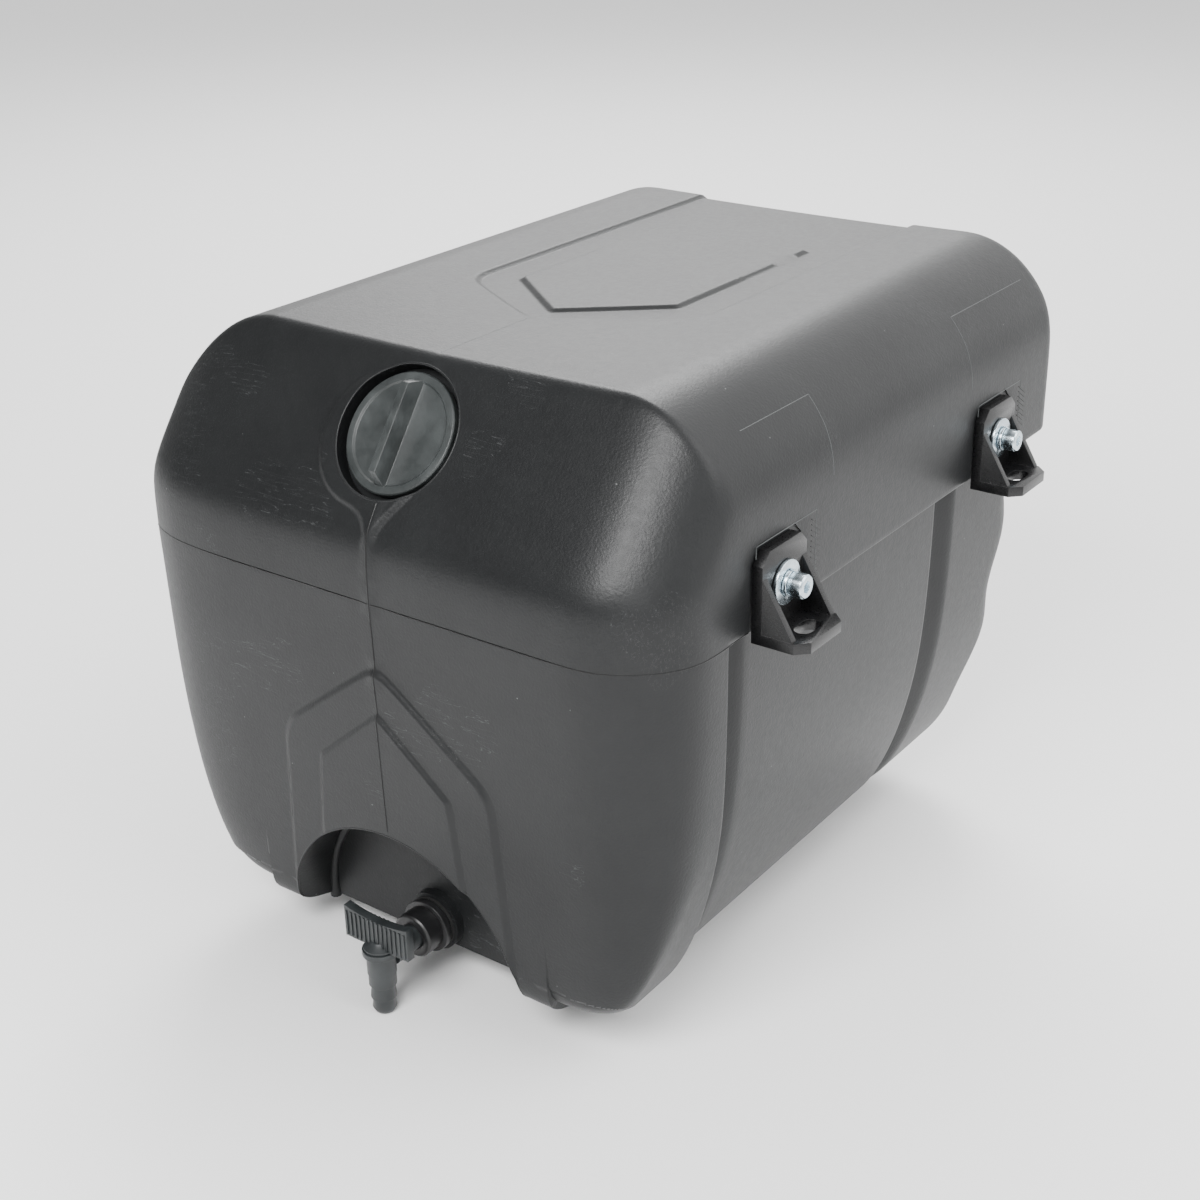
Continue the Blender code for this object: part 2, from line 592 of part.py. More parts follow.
# ---- brackets ----------------------------------------------------------------------------
def bracket(name, side, y, finish):
    """An angle bracket: back plate, slotted flange and two gusset walls in one moulding."""
    inner_face = HALF - POCKET_FLOOR + GAP
    plate = outline_solid("mounting_bracket_" + name, plate_outline(0.0, FLANGE_BOTTOM),
                          PLATE_THICKNESS, PARTS, side_place(side, y, inner_face), finish)
    half = PLATE_WIDTH / 2
    tip = PLATE_FACE + FLANGE_REACH
    low = BOLT_Z - FLANGE_BOTTOM
    back = PLATE_FACE - 0.001
    flange = outline_solid("flange_" + name,
                           [(back, -half), (tip - FLANGE_CLIP, -half),
                            (tip, FLANGE_CLIP - half), (tip, half - FLANGE_CLIP),
                            (tip - FLANGE_CLIP, half), (back, half)],
                           FLANGE_THICKNESS, CUTTERS,
                           Matrix.Translation((0, y, low)) @ Matrix.Scale(side, 4, (1, 0, 0)))
    boolean(plate, "UNION", as_cutter(flange))
    for edge in (-1, 1):
        wall = outline_solid(f"gusset_{name}_{'a' if edge < 0 else 'b'}",
                             [(back, low + 0.001), (tip - FLANGE_CLIP - 0.001, low + 0.001),
                              (tip - FLANGE_CLIP - 0.001, low + FLANGE_THICKNESS + 0.0005),
                              (back, BOLT_Z + GUSSET_TOP)], GUSSET, CUTTERS,
                             Matrix.Translation((0, y + edge * (half - 0.0002)
                                                 + (GUSSET if edge < 0 else 0), 0))
                             @ Matrix.Scale(side, 4, (1, 0, 0)) @ XZ)
        boolean(plate, "UNION", as_cutter(wall))
    middle = (SLOT_LENGTH - SLOT_WIDTH) / 2
    centre_x = (PLATE_FACE + tip) / 2 + 0.0015
    end = SLOT_WIDTH / 2
    slot_points = (arc((centre_x, middle), end, end, 0, 180, 8)
                   + arc((centre_x, -middle), end, end, 180, 360, 8))
    slot = outline_solid("slot_" + name, slot_points, 0.03, CUTTERS,
                         Matrix.Translation((0, y, low - 0.01))
                         @ Matrix.Scale(side, 4, (1, 0, 0)))
    hole = cylinder("bolt_hole_" + name, BOLT_HOLE, -0.01, 0.02, CUTTERS,
                    side_place(side, y, inner_face), SMALL_ROUND)
    boolean(plate, "DIFFERENCE", as_cutter(slot))
    boolean(plate, "DIFFERENCE", as_cutter(hole))
    return plate


def fixings(name, side, y, steel, brass):
    """Insert, washers and socket-head screw of one bracket, from the tank outwards."""
    floor = HALF - POCKET_FLOOR
    insert_low = -INSERT_LENGTH - GAP
    bore = THREAD_RADIUS + GAP
    turned("threaded_insert_" + name,
           [(0, insert_low + INSERT_FLOOR), (bore, insert_low + INSERT_FLOOR), (bore, -GAP),
            (INSERT_RADIUS, -GAP), (INSERT_RADIUS, insert_low), (0, insert_low)],
           PARTS, side_place(side, y, floor), brass, SMALL_ROUND, False)
    low = PLATE_FACE + GAP
    high = low + WASHER_THICKNESS
    place = side_place(side, y, 0)
    turned("flat_washer_" + name,
           [(WASHER_RADIUS, high), (WASHER_RADIUS, low), (BOLT_HOLE, low), (BOLT_HOLE, high)],
           PARTS, place, steel, ROUND)
    low = high + GAP
    high = low + SPRING_WASHER_THICKNESS
    ring = turned("spring_washer_" + name,
                  [(SPRING_WASHER_RADIUS, high), (SPRING_WASHER_RADIUS, low),
                   (BOLT_HOLE, low), (BOLT_HOLE, high)], PARTS, place, steel, SMALL_ROUND)
    split = box("split_" + name, (-SPRING_WASHER_GAP / 2, 0.002, -0.01),
                (SPRING_WASHER_GAP / 2, 0.012, 0.01), CUTTERS)
    split.matrix_world = (side_place(side, y, (low + high) / 2)
                          @ Matrix.Rotation(math.radians(25), 4, "X"))
    boolean(ring, "DIFFERENCE", as_cutter(split))
    seat = high + GAP
    top = seat + HEAD_HEIGHT
    tip = seat - SHANK_LENGTH
    bolt = turned("bracket_bolt_" + name,
                  [(0, top), (HEAD_RADIUS - CHAMFER, top), (HEAD_RADIUS, top - CHAMFER),
                   (HEAD_RADIUS, seat), (THREAD_RADIUS, seat), (THREAD_RADIUS, tip + CHAMFER),
                   (THREAD_RADIUS - CHAMFER, tip), (0, tip)], PARTS, place, steel, SMALL_ROUND, False)
    key = cylinder("hex_" + name, HEX_FLATS / math.sqrt(3), top - HEX_DEPTH, top + 0.002,
                   CUTTERS, place, 6)
    boolean(bolt, "DIFFERENCE", as_cutter(key))


# ---- tap ---------------------------------------------------------------------------------
def tap(plastic, rubber, dark):
    """Outlet adaptor, union and plug tap, laid out from the niche's back wall forwards."""
    along = Matrix.Translation((0, 0, TAP_Z)) @ TOWARDS_FRONT     # local Z is minus world Y
    face = -BOSS_FACE
    gasket_low = face + GAP
    gasket_high = gasket_low + OUTLET_GASKET
    flange_low = gasket_high + GAP
    flange_high = flange_low + ADAPTOR_FLANGE
    stub_high = flange_high + STUB_LENGTH
    tail_end = -(NICHE_BACK + WALL + ADAPTOR_INSIDE)
    turned("outlet_gasket",
           [(OUTLET_BOSS_RADIUS - GASKET_STEP, gasket_high),
            (OUTLET_BOSS_RADIUS - GASKET_STEP, gasket_low),
            (ADAPTOR_TAIL_RADIUS + GAP, gasket_low),
            (ADAPTOR_TAIL_RADIUS + GAP, gasket_high)],
           PARTS, along, rubber)
    turned("outlet_adaptor",
           [(STUB_RADIUS, stub_high), (STUB_RADIUS, flange_high),
            (ADAPTOR_FLANGE_RADIUS, flange_high), (ADAPTOR_FLANGE_RADIUS, flange_low),
            (ADAPTOR_TAIL_RADIUS, flange_low), (ADAPTOR_TAIL_RADIUS, tail_end),
            (ADAPTOR_BORE, tail_end), (ADAPTOR_BORE, stub_high)], PARTS, along, dark)
    seal_low = stub_high + GAP
    seal_high = seal_low + UNION_SEAL
    turned("tap_union_seal",
           [(TAP_COLLAR_RADIUS, seal_high), (TAP_COLLAR_RADIUS, seal_low),
            (ADAPTOR_BORE, seal_low), (ADAPTOR_BORE, seal_high)], PARTS, along, rubber)
    collar_low = seal_high + GAP
    collar_high = collar_low + TAP_COLLAR
    nut_low = flange_high + GAP
    shoulder = collar_high + GAP
    nut_high = shoulder + NUT_SHOULDER
    nut_bore = STUB_RADIUS + THREAD_CLEAR
    neck_hole = TAP_NECK_RADIUS + THREAD_CLEAR
    rim = NUT_RADIUS - NUT_CHAMFER
    turned("tap_union_nut",
           [(rim, nut_high), (NUT_RADIUS, nut_high - NUT_CHAMFER), (NUT_RADIUS, nut_low),
            (nut_bore, nut_low), (nut_bore, shoulder), (neck_hole, shoulder),
            (neck_hole, nut_high)], PARTS, along, dark)
    tap_body(along, collar_low, collar_high, plastic)
    tap_plug(plastic, rubber)


def tap_body(along, collar_low, collar_high, finish):
    """Barrel, spout and neck moulded as one."""
    floor = TAP_Z - TAP_NECK_RADIUS - 0.0005
    plug_low = TAP_Z - TAP_NECK_BORE - BARREL_FLOOR / 2
    first, second, third = SPOUT_RADII
    span = (plug_low - SPOUT_TIP_Z) / 3
    axis = Matrix.Translation((0, TAP_AXIS_Y, 0))
    flange_low = BARREL_TOP - BARREL_FLANGE
    profile = [(BARREL_FLANGE_RADIUS, BARREL_TOP), (BARREL_FLANGE_RADIUS, flange_low),
               (BARREL_RADIUS, flange_low - 0.0012), (BARREL_RADIUS, floor),
               (first, floor - 0.001), (first, SPOUT_TIP_Z + 2 * span),
               (second - SPOUT_BARB, SPOUT_TIP_Z + 2 * span - 0.0006),
               (second, SPOUT_TIP_Z + span + 0.0006),
               (third - SPOUT_BARB, SPOUT_TIP_Z + span), (third, SPOUT_TIP_Z + 0.003),
               (third - 0.0016, SPOUT_TIP_Z), (SPOUT_BORE, SPOUT_TIP_Z),
               (SPOUT_BORE, plug_low), (BARREL_BORE, plug_low), (BARREL_BORE, BARREL_TOP)]
    body = turned("tap_body", profile, PARTS, axis, finish)
    neck = cylinder("neck", TAP_NECK_RADIUS, collar_low + 0.0005,
                    -TAP_AXIS_Y - BARREL_BORE - 0.001, CUTTERS, along)
    collar = cylinder("neck_collar", TAP_COLLAR_RADIUS, collar_low, collar_high, CUTTERS,
                      along)
    boolean(body, "UNION", as_cutter(neck))
    boolean(body, "UNION", as_cutter(collar))
    bore = cylinder("neck_bore", TAP_NECK_BORE, collar_low - 0.01, -TAP_AXIS_Y, CUTTERS, along,
                    SMALL_ROUND)
    boolean(body, "DIFFERENCE", as_cutter(bore))
    return body


def tap_plug(plastic, rubber):
    """The plug and its wing, one moulding on the tap's vertical axis, and its ring."""
    low = TAP_Z - TAP_NECK_BORE - BARREL_FLOOR / 2 + GAP
    radius = BARREL_BORE - PLUG_CLEAR
    groove = radius - RING_SECTION
    high = BARREL_TOP + GAP
    axis = Matrix.Translation((0, TAP_AXIS_Y, 0))
    wide = BARREL_FLANGE_RADIUS - 0.001
    ring_low = (TAP_Z + TAP_NECK_BORE + BARREL_TOP) / 2 - RING_SECTION / 2
    ring_high = ring_low + RING_SECTION + 2 * GAP
    profile = [(0, high + HUB_HEIGHT), (HUB_RADIUS, high + HUB_HEIGHT),
               (HUB_RADIUS + 0.002, high + HANDLE_DISC + 0.001), (wide, high + HANDLE_DISC),
               (wide, high), (radius, high), (radius, ring_high), (groove, ring_high),
               (groove, ring_low), (radius, ring_low), (radius, low), (PLUG_BORE, low),
               (PLUG_BORE, TAP_Z + PLUG_PORT + PLUG_CROWN),
               (0, TAP_Z + PLUG_PORT + PLUG_CROWN)]
    plug = turned("tap_handle", profile, PARTS, axis, plastic, ROUND, False)
    wing_low = high + 0.0004
    wing_high = BARREL_TOP + HANDLE_HEIGHT
    half = HANDLE_LENGTH / 2
    top = [(half - HANDLE_LENGTH * i / 12,
            wing_high - HANDLE_DIP * (1 - (1 - i / 6) ** 2)) for i in range(13)]
    wing = outline_solid("wing", [(-half, wing_low), (half, wing_low)] + top,
                         HANDLE_THICKNESS, CUTTERS,
                         Matrix.Translation((0, TAP_AXIS_Y + HANDLE_THICKNESS / 2, 0)) @ XZ)
    boolean(plug, "UNION", as_cutter(wing))
    port = cylinder("plug_port", PLUG_PORT, 0, 0.02, CUTTERS,
                    Matrix.Translation((0, TAP_AXIS_Y, TAP_Z))
                    @ Matrix.Rotation(math.pi / 2, 4, "Y"), 20)
    boolean(plug, "DIFFERENCE", as_cutter(port))
    middle = groove + GAP / 2 + RING_SECTION / 2
    centre = (ring_low + ring_high) / 2
    reach = RING_SECTION / 2
    turns = [2 * math.pi * i / 8 for i in range(8)]
    section = [(middle + reach * math.cos(a), centre - reach * math.sin(a)) for a in turns]
    turned("tap_o_ring", section, PARTS, axis, rubber, SMALL_ROUND)


# ---- the part ----------------------------------------------------------------------------
clear_scene()
PARTS = collection("fresh_water_tank")
CUTTERS = collection("cutters")


def build():
    shell_plastic = material("moulded_polyethylene", (0.022, 0.023, 0.024), 0.5)
    cap_plastic = material("cap_polypropylene", (0.03, 0.032, 0.032), 0.42)
    bracket_plastic = material("glass_filled_nylon", (0.010, 0.010, 0.011), 0.35)
    tap_plastic = material("tap_polypropylene", (0.04, 0.043, 0.044), 0.42)
    nut_plastic = material("adaptor_nylon", (0.012, 0.012, 0.013), 0.4)
    rubber = material("nitrile_rubber", (0.008, 0.008, 0.008), 0.8)
    steel = material("zinc_plated_steel", (0.62, 0.66, 0.70), 0.28, 1.0)
    brass = material("brass", (0.60, 0.44, 0.18), 0.35, 1.0)
    tank_shell(shell_plastic)
    filler_cap(cap_plastic)
    filler_gasket(rubber)
    for name, side, y in bracket_places():
        bracket(name, side, y, bracket_plastic)
        fixings(name, side, y, steel, brass)
    tap(tap_plastic, rubber, nut_plastic)
    origin = bpy.data.objects.new("tank_origin", None)
    PARTS.objects.link(origin)
    for item in list(PARTS.objects) + list(CUTTERS.objects):
        if item is not origin:
            item.parent = origin
    origin.location = ORIGIN


build()
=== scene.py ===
"""Fresh water tank: the fine surfaces, finishes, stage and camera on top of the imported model."""
import math

import bmesh
import bpy
import numpy as np
from bpy.props import FloatProperty, FloatVectorProperty
from mathutils import Matrix, Vector


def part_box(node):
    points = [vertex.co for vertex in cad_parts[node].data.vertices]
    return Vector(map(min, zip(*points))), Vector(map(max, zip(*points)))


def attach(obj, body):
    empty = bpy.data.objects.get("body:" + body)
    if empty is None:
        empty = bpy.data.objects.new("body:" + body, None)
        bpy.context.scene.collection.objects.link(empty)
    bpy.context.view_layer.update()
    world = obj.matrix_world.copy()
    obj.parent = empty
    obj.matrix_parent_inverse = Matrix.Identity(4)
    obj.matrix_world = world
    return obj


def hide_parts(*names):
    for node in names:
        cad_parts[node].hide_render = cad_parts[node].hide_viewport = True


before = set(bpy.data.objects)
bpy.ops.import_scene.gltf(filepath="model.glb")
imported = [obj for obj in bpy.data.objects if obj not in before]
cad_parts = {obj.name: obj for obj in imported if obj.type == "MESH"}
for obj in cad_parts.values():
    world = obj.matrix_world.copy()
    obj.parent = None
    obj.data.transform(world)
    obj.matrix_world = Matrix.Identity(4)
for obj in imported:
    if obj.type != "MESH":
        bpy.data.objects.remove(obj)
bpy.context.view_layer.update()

bl_info = {
    "name": "Fresh Water Tank",
    "version": (1, 0, 0),
    "blender": (4, 5, 0),
    "location": "View3D > Sidebar > Tank",
    "description": "Builds the moulded water tank, its cap, brackets and tap",
    "category": "Object",
}

# The tank's own frame: z = 0 is the flat base and y = 0 the front face.
SHELL_LOW, SHELL_HIGH = (Vector(corner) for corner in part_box("tank_shell"))
BASE = Vector((0, SHELL_LOW.y, SHELL_LOW.z))
HALF = SHELL_HIGH.x
LENGTH = SHELL_HIGH.y - SHELL_LOW.y
HEIGHT = SHELL_HIGH.z - SHELL_LOW.z
LEDGE_Z = 0.235
CREASE_Z = 0.271
SETBACK = 0.064
SLOPE_ANGLE = math.atan(SETBACK / (HEIGHT - CREASE_Z))
SLOPE_DIR = Vector((0, math.sin(SLOPE_ANGLE), math.cos(SLOPE_ANGLE)))
SLOPE_NORMAL = Vector((0, -math.cos(SLOPE_ANGLE), math.sin(SLOPE_ANGLE)))
FILLER_UP_SLOPE = 0.061
FILLER_X = -0.0055
POCKET_RADIUS = 0.0381
POCKET_DEPTH = 0.010
NECK_RADIUS = 0.026
NECK_DEPTH = 0.050
FILLER = Matrix.Translation(BASE + Vector((FILLER_X, 0, CREASE_Z))
                            + SLOPE_DIR * FILLER_UP_SLOPE) \
    @ Matrix.Rotation(math.pi / 2 - SLOPE_ANGLE, 4, "X")
BRACKET_YS = {"front": 0.1075, "rear": 0.3570}
BOLT_Z = 0.2565
BRACKET_POCKET_DEPTH = 0.005
BRACKET_POCKET_HALF = 0.0245
BRACKET_POCKET_TOP = 0.0247
BRACKET_POCKET_CLIP = 0.0072
BRACKET_POCKET_FOOT = 0.032
NICHE_RADIUS = 0.085
NICHE_CENTRE_Z = 0.009
NICHE_DEPTH = 0.040
BOSS_RADIUS = 0.0182
BOSS_FACE = 0.0342          # how far behind the front face the outlet boss ends
TAP_AXIS_Y = -0.011
TAP_Z = 0.019
CUT_CLEAR = 0.03            # how far a cutter stands proud of what it cuts
TOWARDS_FRONT = Matrix.Rotation(math.pi / 2, 4, "X")


# The form's own roundings and steps, used by the field below.
GROOVE_STARTS = (0.0662, 0.3030)
GROOVE_LENGTHS = (0.027, 0.029)
GROOVE_DEPTHS = (0.0062, 0.0068)
LEDGE_STEP = 0.0093         # how far the sides stand back below the ledge
SIDE_FALL = (HALF - 0.1044, 0.2419, 2.294)
REAR_WAVE = 0.0042
REAR_WAVE_TOP = 0.175
REAR_WAVE_PITCH = 0.0735

# The mould insert's frame round each bracket, and the slanted marks inside its rear edge.
INSERT_FRAMES = ((0.0885, 0.1475), (0.338, 0.397))
INSERT_LOW, INSERT_HIGH = 0.237, 0.2805
MARK_YS = (0.1405, 0.3900)


# ---- colours and nodes ---------------------------------------------------------------------
def linear(hex_colour):
    """An sRGB hex value as a linear colour."""
    values = [int(hex_colour[i:i + 2], 16) / 255 for i in (1, 3, 5)]
    return tuple(v / 12.92 if v <= 0.04045 else ((v + 0.055) / 1.055) ** 2.4 for v in values)


def add_node(tree, kind, settings=None, inputs=None):
    """A node with its settings, and inputs that are values or other nodes' sockets."""
    node = tree.nodes.new(kind)
    for name, value in (settings or {}).items():
        setattr(node, name, value)
    for name, value in (inputs or {}).items():
        if isinstance(value, bpy.types.NodeSocket):
            tree.links.new(value, node.inputs[name])
        else:
            node.inputs[name].default_value = value
    return node


def new_material(name, colour, roughness, metallic=0.0, ior=None):
    made = bpy.data.materials.new(name)
    made.use_nodes = True
    shader = made.node_tree.nodes["Principled BSDF"]
    shader.inputs["Base Color"].default_value = (*linear(colour), 1)
    shader.inputs["Roughness"].default_value = roughness
    shader.inputs["Metallic"].default_value = metallic
    if ior is not None:
        shader.inputs["IOR"].default_value = ior
    return made, made.node_tree, shader


def object_coordinates(tree):
    return add_node(tree, "ShaderNodeTexCoord").outputs["Object"]


def noise(tree, where, size_mm, detail=2.0, roughness=0.5):
    """Noise whose features are about size_mm across."""
    return add_node(tree, "ShaderNodeTexNoise", None,
                    {"Vector": where, "Scale": 1000.0 / size_mm, "Detail": detail,
                     "Roughness": roughness}).outputs["Fac"]


def ranged(tree, value, low, high, out_low, out_high):
    return add_node(tree, "ShaderNodeMapRange", None,
                    {"Value": value, "From Min": low, "From Max": high, "To Min": out_low,
                     "To Max": out_high}).outputs["Result"]


def mixed(tree, factor, first, second):
    node = add_node(tree, "ShaderNodeMix", {"data_type": "RGBA"})
    for socket, value in ((node.inputs[0], factor), (node.inputs[6], first),
                          (node.inputs[7], second)):
        if isinstance(value, bpy.types.NodeSocket):
            tree.links.new(value, socket)
        else:
            socket.default_value = value
    return node.outputs[2]


def bumped(tree, shader, height, strength, distance):
    bump = add_node(tree, "ShaderNodeBump", None,
                    {"Height": height, "Strength": strength, "Distance": distance})
    tree.links.new(bump.outputs["Normal"], shader.inputs["Normal"])
    return bump


def math_of(tree, operation, first, second=0.5):
    node = add_node(tree, "ShaderNodeMath", {"operation": operation})
    for socket, value in zip(node.inputs, (first, second)):
        if isinstance(value, bpy.types.NodeSocket):
            tree.links.new(value, socket)
        else:
            socket.default_value = value
    return node.outputs[0]


def moulded_polyethylene(name, colour):
    """Black blow-moulded polyethylene: satin, with the fine pebble that the mould leaves, dull
    handling patches, hair scratches and pale dust."""
    made, tree, shader = new_material(name, colour, 0.4, 0.0, 1.54)
    shader.inputs["Specular IOR Level"].default_value = 0.27
    where = object_coordinates(tree)
    patches = noise(tree, where, 90.0, 4.0, 0.6)
    cloud = noise(tree, where, 4.0, 3.0, 0.6)
    base = (*linear(colour), 1)
    dusty = (*linear("#3b3d3d"), 1)
    toned = mixed(tree, ranged(tree, patches, 0.35, 0.75, 0.0, 0.12), base, dusty)
    specks = add_node(tree, "ShaderNodeTexVoronoi", None,
                      {"Vector": where, "Scale": 1000.0 / 14.0, "Randomness": 1.0})
    dot = ranged(tree, specks.outputs["Distance"], 0.018, 0.040, 1.0, 0.0)
    kept = math_of(tree, "GREATER_THAN", noise(tree, where, 26.0, 0.0), 0.56)
    speckled = math_of(tree, "MULTIPLY", dot, kept)
    speck_amount = math_of(tree, "MULTIPLY", speckled, 0.35)
    pale = (*linear("#8d8f8e"), 1)
    toned = mixed(tree, speck_amount, toned, pale)
    stretch = add_node(tree, "ShaderNodeMapping", None, {"Vector": where,
                       "Rotation": (0.5, 0.35, 0.9), "Scale": (1.0, 26.0, 9.0)})
    hair = noise(tree, stretch.outputs["Vector"], 42.0, 2.0, 0.6)
    hair_line = ranged(tree, math_of(tree, "ABSOLUTE", math_of(tree, "SUBTRACT", hair, 0.5)),
                       0.0, 0.006, 1.0, 0.0)
    worn = math_of(tree, "GREATER_THAN", noise(tree, where, 60.0, 1.0), 0.60)
    scratch = math_of(tree, "MULTIPLY", hair_line, worn)
    toned = mixed(tree, math_of(tree, "MULTIPLY", scratch, 0.22), toned,
                  (*linear("#77797a"), 1))
    tree.links.new(toned, shader.inputs["Base Color"])
    rough = ranged(tree, cloud, 0.3, 0.7, 0.39, 0.44)
    rough = math_of(tree, "ADD", rough, math_of(tree, "MULTIPLY", scratch, 0.12))
    tree.links.new(rough, shader.inputs["Roughness"])
    pebble = noise(tree, where, 1.5, 2.0, 0.55)
    swell = noise(tree, where, 11.0, 1.0, 0.5)
    height = math_of(tree, "ADD", math_of(tree, "MULTIPLY", pebble, 0.7),
                     math_of(tree, "MULTIPLY", swell, 0.35))
    height = math_of(tree, "SUBTRACT", height, math_of(tree, "MULTIPLY", scratch, 0.05))
    bumped(tree, shader, height, 0.55, 0.00035)
    return made


def turned_polypropylene(name, colour, roughness):
    """Injection-moulded polypropylene: smoother than the shell, with faint flow marks."""
    made, tree, shader = new_material(name, colour, roughness, 0.0, 1.49)
    where = object_coordinates(tree)
    flow = noise(tree, where, 16.0, 3.0, 0.6)
    light = (*[min(1.0, 1.7 * v + 0.004) for v in linear(colour)], 1)
    toned = mixed(tree, ranged(tree, flow, 0.35, 0.7, 0.0, 1.0), (*linear(colour), 1), light)
    tree.links.new(toned, shader.inputs["Base Color"])
    tree.links.new(ranged(tree, flow, 0.3, 0.7, roughness - 0.05, roughness + 0.08),
                   shader.inputs["Roughness"])
    bumped(tree, shader, noise(tree, where, 0.9, 2.0), 0.25, 0.0001)
    return made


def glass_filled_nylon(colour):
    """Black glass-filled nylon moulding: close to gloss, with a slight fibre texture."""
    made, tree, shader = new_material("glass_filled_nylon", colour, 0.3, 0.0, 1.53)
    shader.inputs["Specular IOR Level"].default_value = 0.4
    where = object_coordinates(tree)
    fibre = add_node(tree, "ShaderNodeMapping", None,
                     {"Vector": where, "Scale": (1.0, 1.0, 4.0)}).outputs["Vector"]
    grain = noise(tree, fibre, 1.4, 3.0, 0.6)
    tree.links.new(ranged(tree, grain, 0.3, 0.7, 0.24, 0.38), shader.inputs["Roughness"])
    bumped(tree, shader, grain, 0.25, 0.00015)
    return made


def zinc_plated_steel(colour):
    """Bright zinc plate on turned steel: pale blue-white, with fine rings and dull spots."""
    made, tree, shader = new_material("zinc_plated_steel", colour, 0.25, 1.0)
    where = object_coordinates(tree)
    spots = noise(tree, where, 2.2, 3.0, 0.6)
    toned = mixed(tree, ranged(tree, spots, 0.35, 0.7, 0.0, 0.25), (*linear(colour), 1),
                  (*linear("#9fb0ba"), 1))
    tree.links.new(toned, shader.inputs["Base Color"])
    tree.links.new(ranged(tree, spots, 0.3, 0.7, 0.22, 0.29), shader.inputs["Roughness"])
    bumped(tree, shader, noise(tree, where, 0.5, 2.0), 0.08, 0.00002)
    return made


def turned_brass():
    """Turned brass: yellow metal with fine lathe marks across the axis."""
    made, tree, shader = new_material("turned_brass", "#b08a45", 0.3, 1.0)
    marks = noise(tree, object_coordinates(tree), 0.6, 2.0)
    tree.links.new(ranged(tree, marks, 0.3, 0.7, 0.24, 0.4), shader.inputs["Roughness"])
    return made


def nitrile_rubber():
    """Moulded nitrile rubber: matt black with a powdery bloom."""
    made, tree, shader = new_material("nitrile_rubber", "#141414", 0.75, 0.0, 1.52)
    bloom = noise(tree, object_coordinates(tree), 3.0, 3.0)
    toned = mixed(tree, ranged(tree, bloom, 0.4, 0.8, 0.0, 0.5), (*linear("#121212"), 1),
                  (*linear("#2b2b2b"), 1))
    tree.links.new(toned, shader.inputs["Base Color"])
    return made


# ---- object helpers --------------------------------------------------------------------------
def finished(name, mesh, surface, body, slot, *nodes):
    """A finished piece at the origin, riding on its body."""
    piece = bpy.data.objects.new(name, mesh)
    bpy.context.scene.collection.objects.link(piece)
    mesh.materials.clear()
    mesh.materials.append(surface)
    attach(piece, body)
    if nodes:
        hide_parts(*nodes)
    return piece


def baked(item, name):
    """The evaluated object as a plain mesh in world space; the object is removed."""
    bpy.context.view_layer.update()
    evaluated = item.evaluated_get(bpy.context.evaluated_depsgraph_get())
    mesh = bpy.data.meshes.new_from_object(evaluated)
    mesh.transform(item.matrix_world)
    mesh.name = name
    old = item.data
    bpy.data.objects.remove(item, do_unlink=True)
    if old.users == 0:
        (bpy.data.meshes if isinstance(old, bpy.types.Mesh) else bpy.data.curves).remove(old)
    return mesh


def temporary(name, mesh, matrix=None):
    item = bpy.data.objects.new(name, mesh)
    bpy.context.scene.collection.objects.link(item)
    if matrix is not None:
        item.matrix_world = matrix
    return item


def joined(name, meshes):
    """Several meshes as one, each kept as it is."""
    body = bmesh.new()
    for mesh in meshes:
        body.from_mesh(mesh)
        bpy.data.meshes.remove(mesh)
    mesh = bpy.data.meshes.new(name)
    body.to_mesh(mesh)
    body.free()
    return mesh


def smoothed(mesh, degrees=35.0):
    mesh.shade_smooth()
    mesh.set_sharp_from_angle(angle=math.radians(degrees))
    return mesh


def softened_copy(node, name, width, segments=3, angle=30.0):
    """A CAD node's shape with its flat faces joined up and its edges rounded."""
    source = bpy.data.objects[node].data
    body = bmesh.new()
    body.from_mesh(source)
    bmesh.ops.remove_doubles(body, verts=body.verts, dist=1e-6)
    bmesh.ops.dissolve_limit(body, angle_limit=math.radians(0.6), verts=body.verts,
                             edges=body.edges)
    mesh = bpy.data.meshes.new(name)
    body.to_mesh(mesh)
    body.free()
    item = temporary(name, mesh)
    bevel = item.modifiers.new("Round", "BEVEL")
    bevel.width = width
    bevel.segments = segments
    bevel.limit_method = "ANGLE"
    bevel.angle_limit = math.radians(angle)
    bevel.harden_normals = False
    bevel.use_clamp_overlap = True
    return smoothed(baked(item, name))


def tube(points, radius, cyclic=False, resolution=1):
    """A thin bead along points, as a mesh in world space."""
    curve = bpy.data.curves.new("bead", "CURVE")
    curve.dimensions = "3D"
    curve.bevel_depth = radius
    curve.bevel_resolution = resolution
    curve.use_fill_caps = True
    spline = curve.splines.new("POLY")
    spline.points.add(len(points) - 1)
    for dot, place in zip(spline.points, points):
        dot.co = (*place, 1)
    spline.use_cyclic_u = cyclic
    return baked(temporary("bead", curve), "bead")


def outline_prism(name, points, low, high, matrix):
    """A closed flat outline given a thickness from low to high along the matrix's Z."""
    body = bmesh.new()
    face = body.faces.new([body.verts.new((u, v, low)) for u, v in points])
    raised = bmesh.ops.extrude_face_region(body, geom=[face])
    moved = [item for item in raised["geom"] if isinstance(item, bmesh.types.BMVert)]
    bmesh.ops.translate(body, verts=moved, vec=(0, 0, high - low))
    bmesh.ops.recalc_face_normals(body, faces=body.faces)
    body.transform(matrix)
    if matrix.determinant() < 0:
        bmesh.ops.reverse_faces(body, faces=body.faces)
    mesh = bpy.data.meshes.new(name)
    body.to_mesh(mesh)
    body.free()
    return mesh


def arc_points(centre, radius, start, end, steps):
    turns = [math.radians(start + (end - start) * i / steps) for i in range(steps + 1)]
    return [(centre[0] + radius * math.cos(t), centre[1] + radius * math.sin(t)) for t in turns]


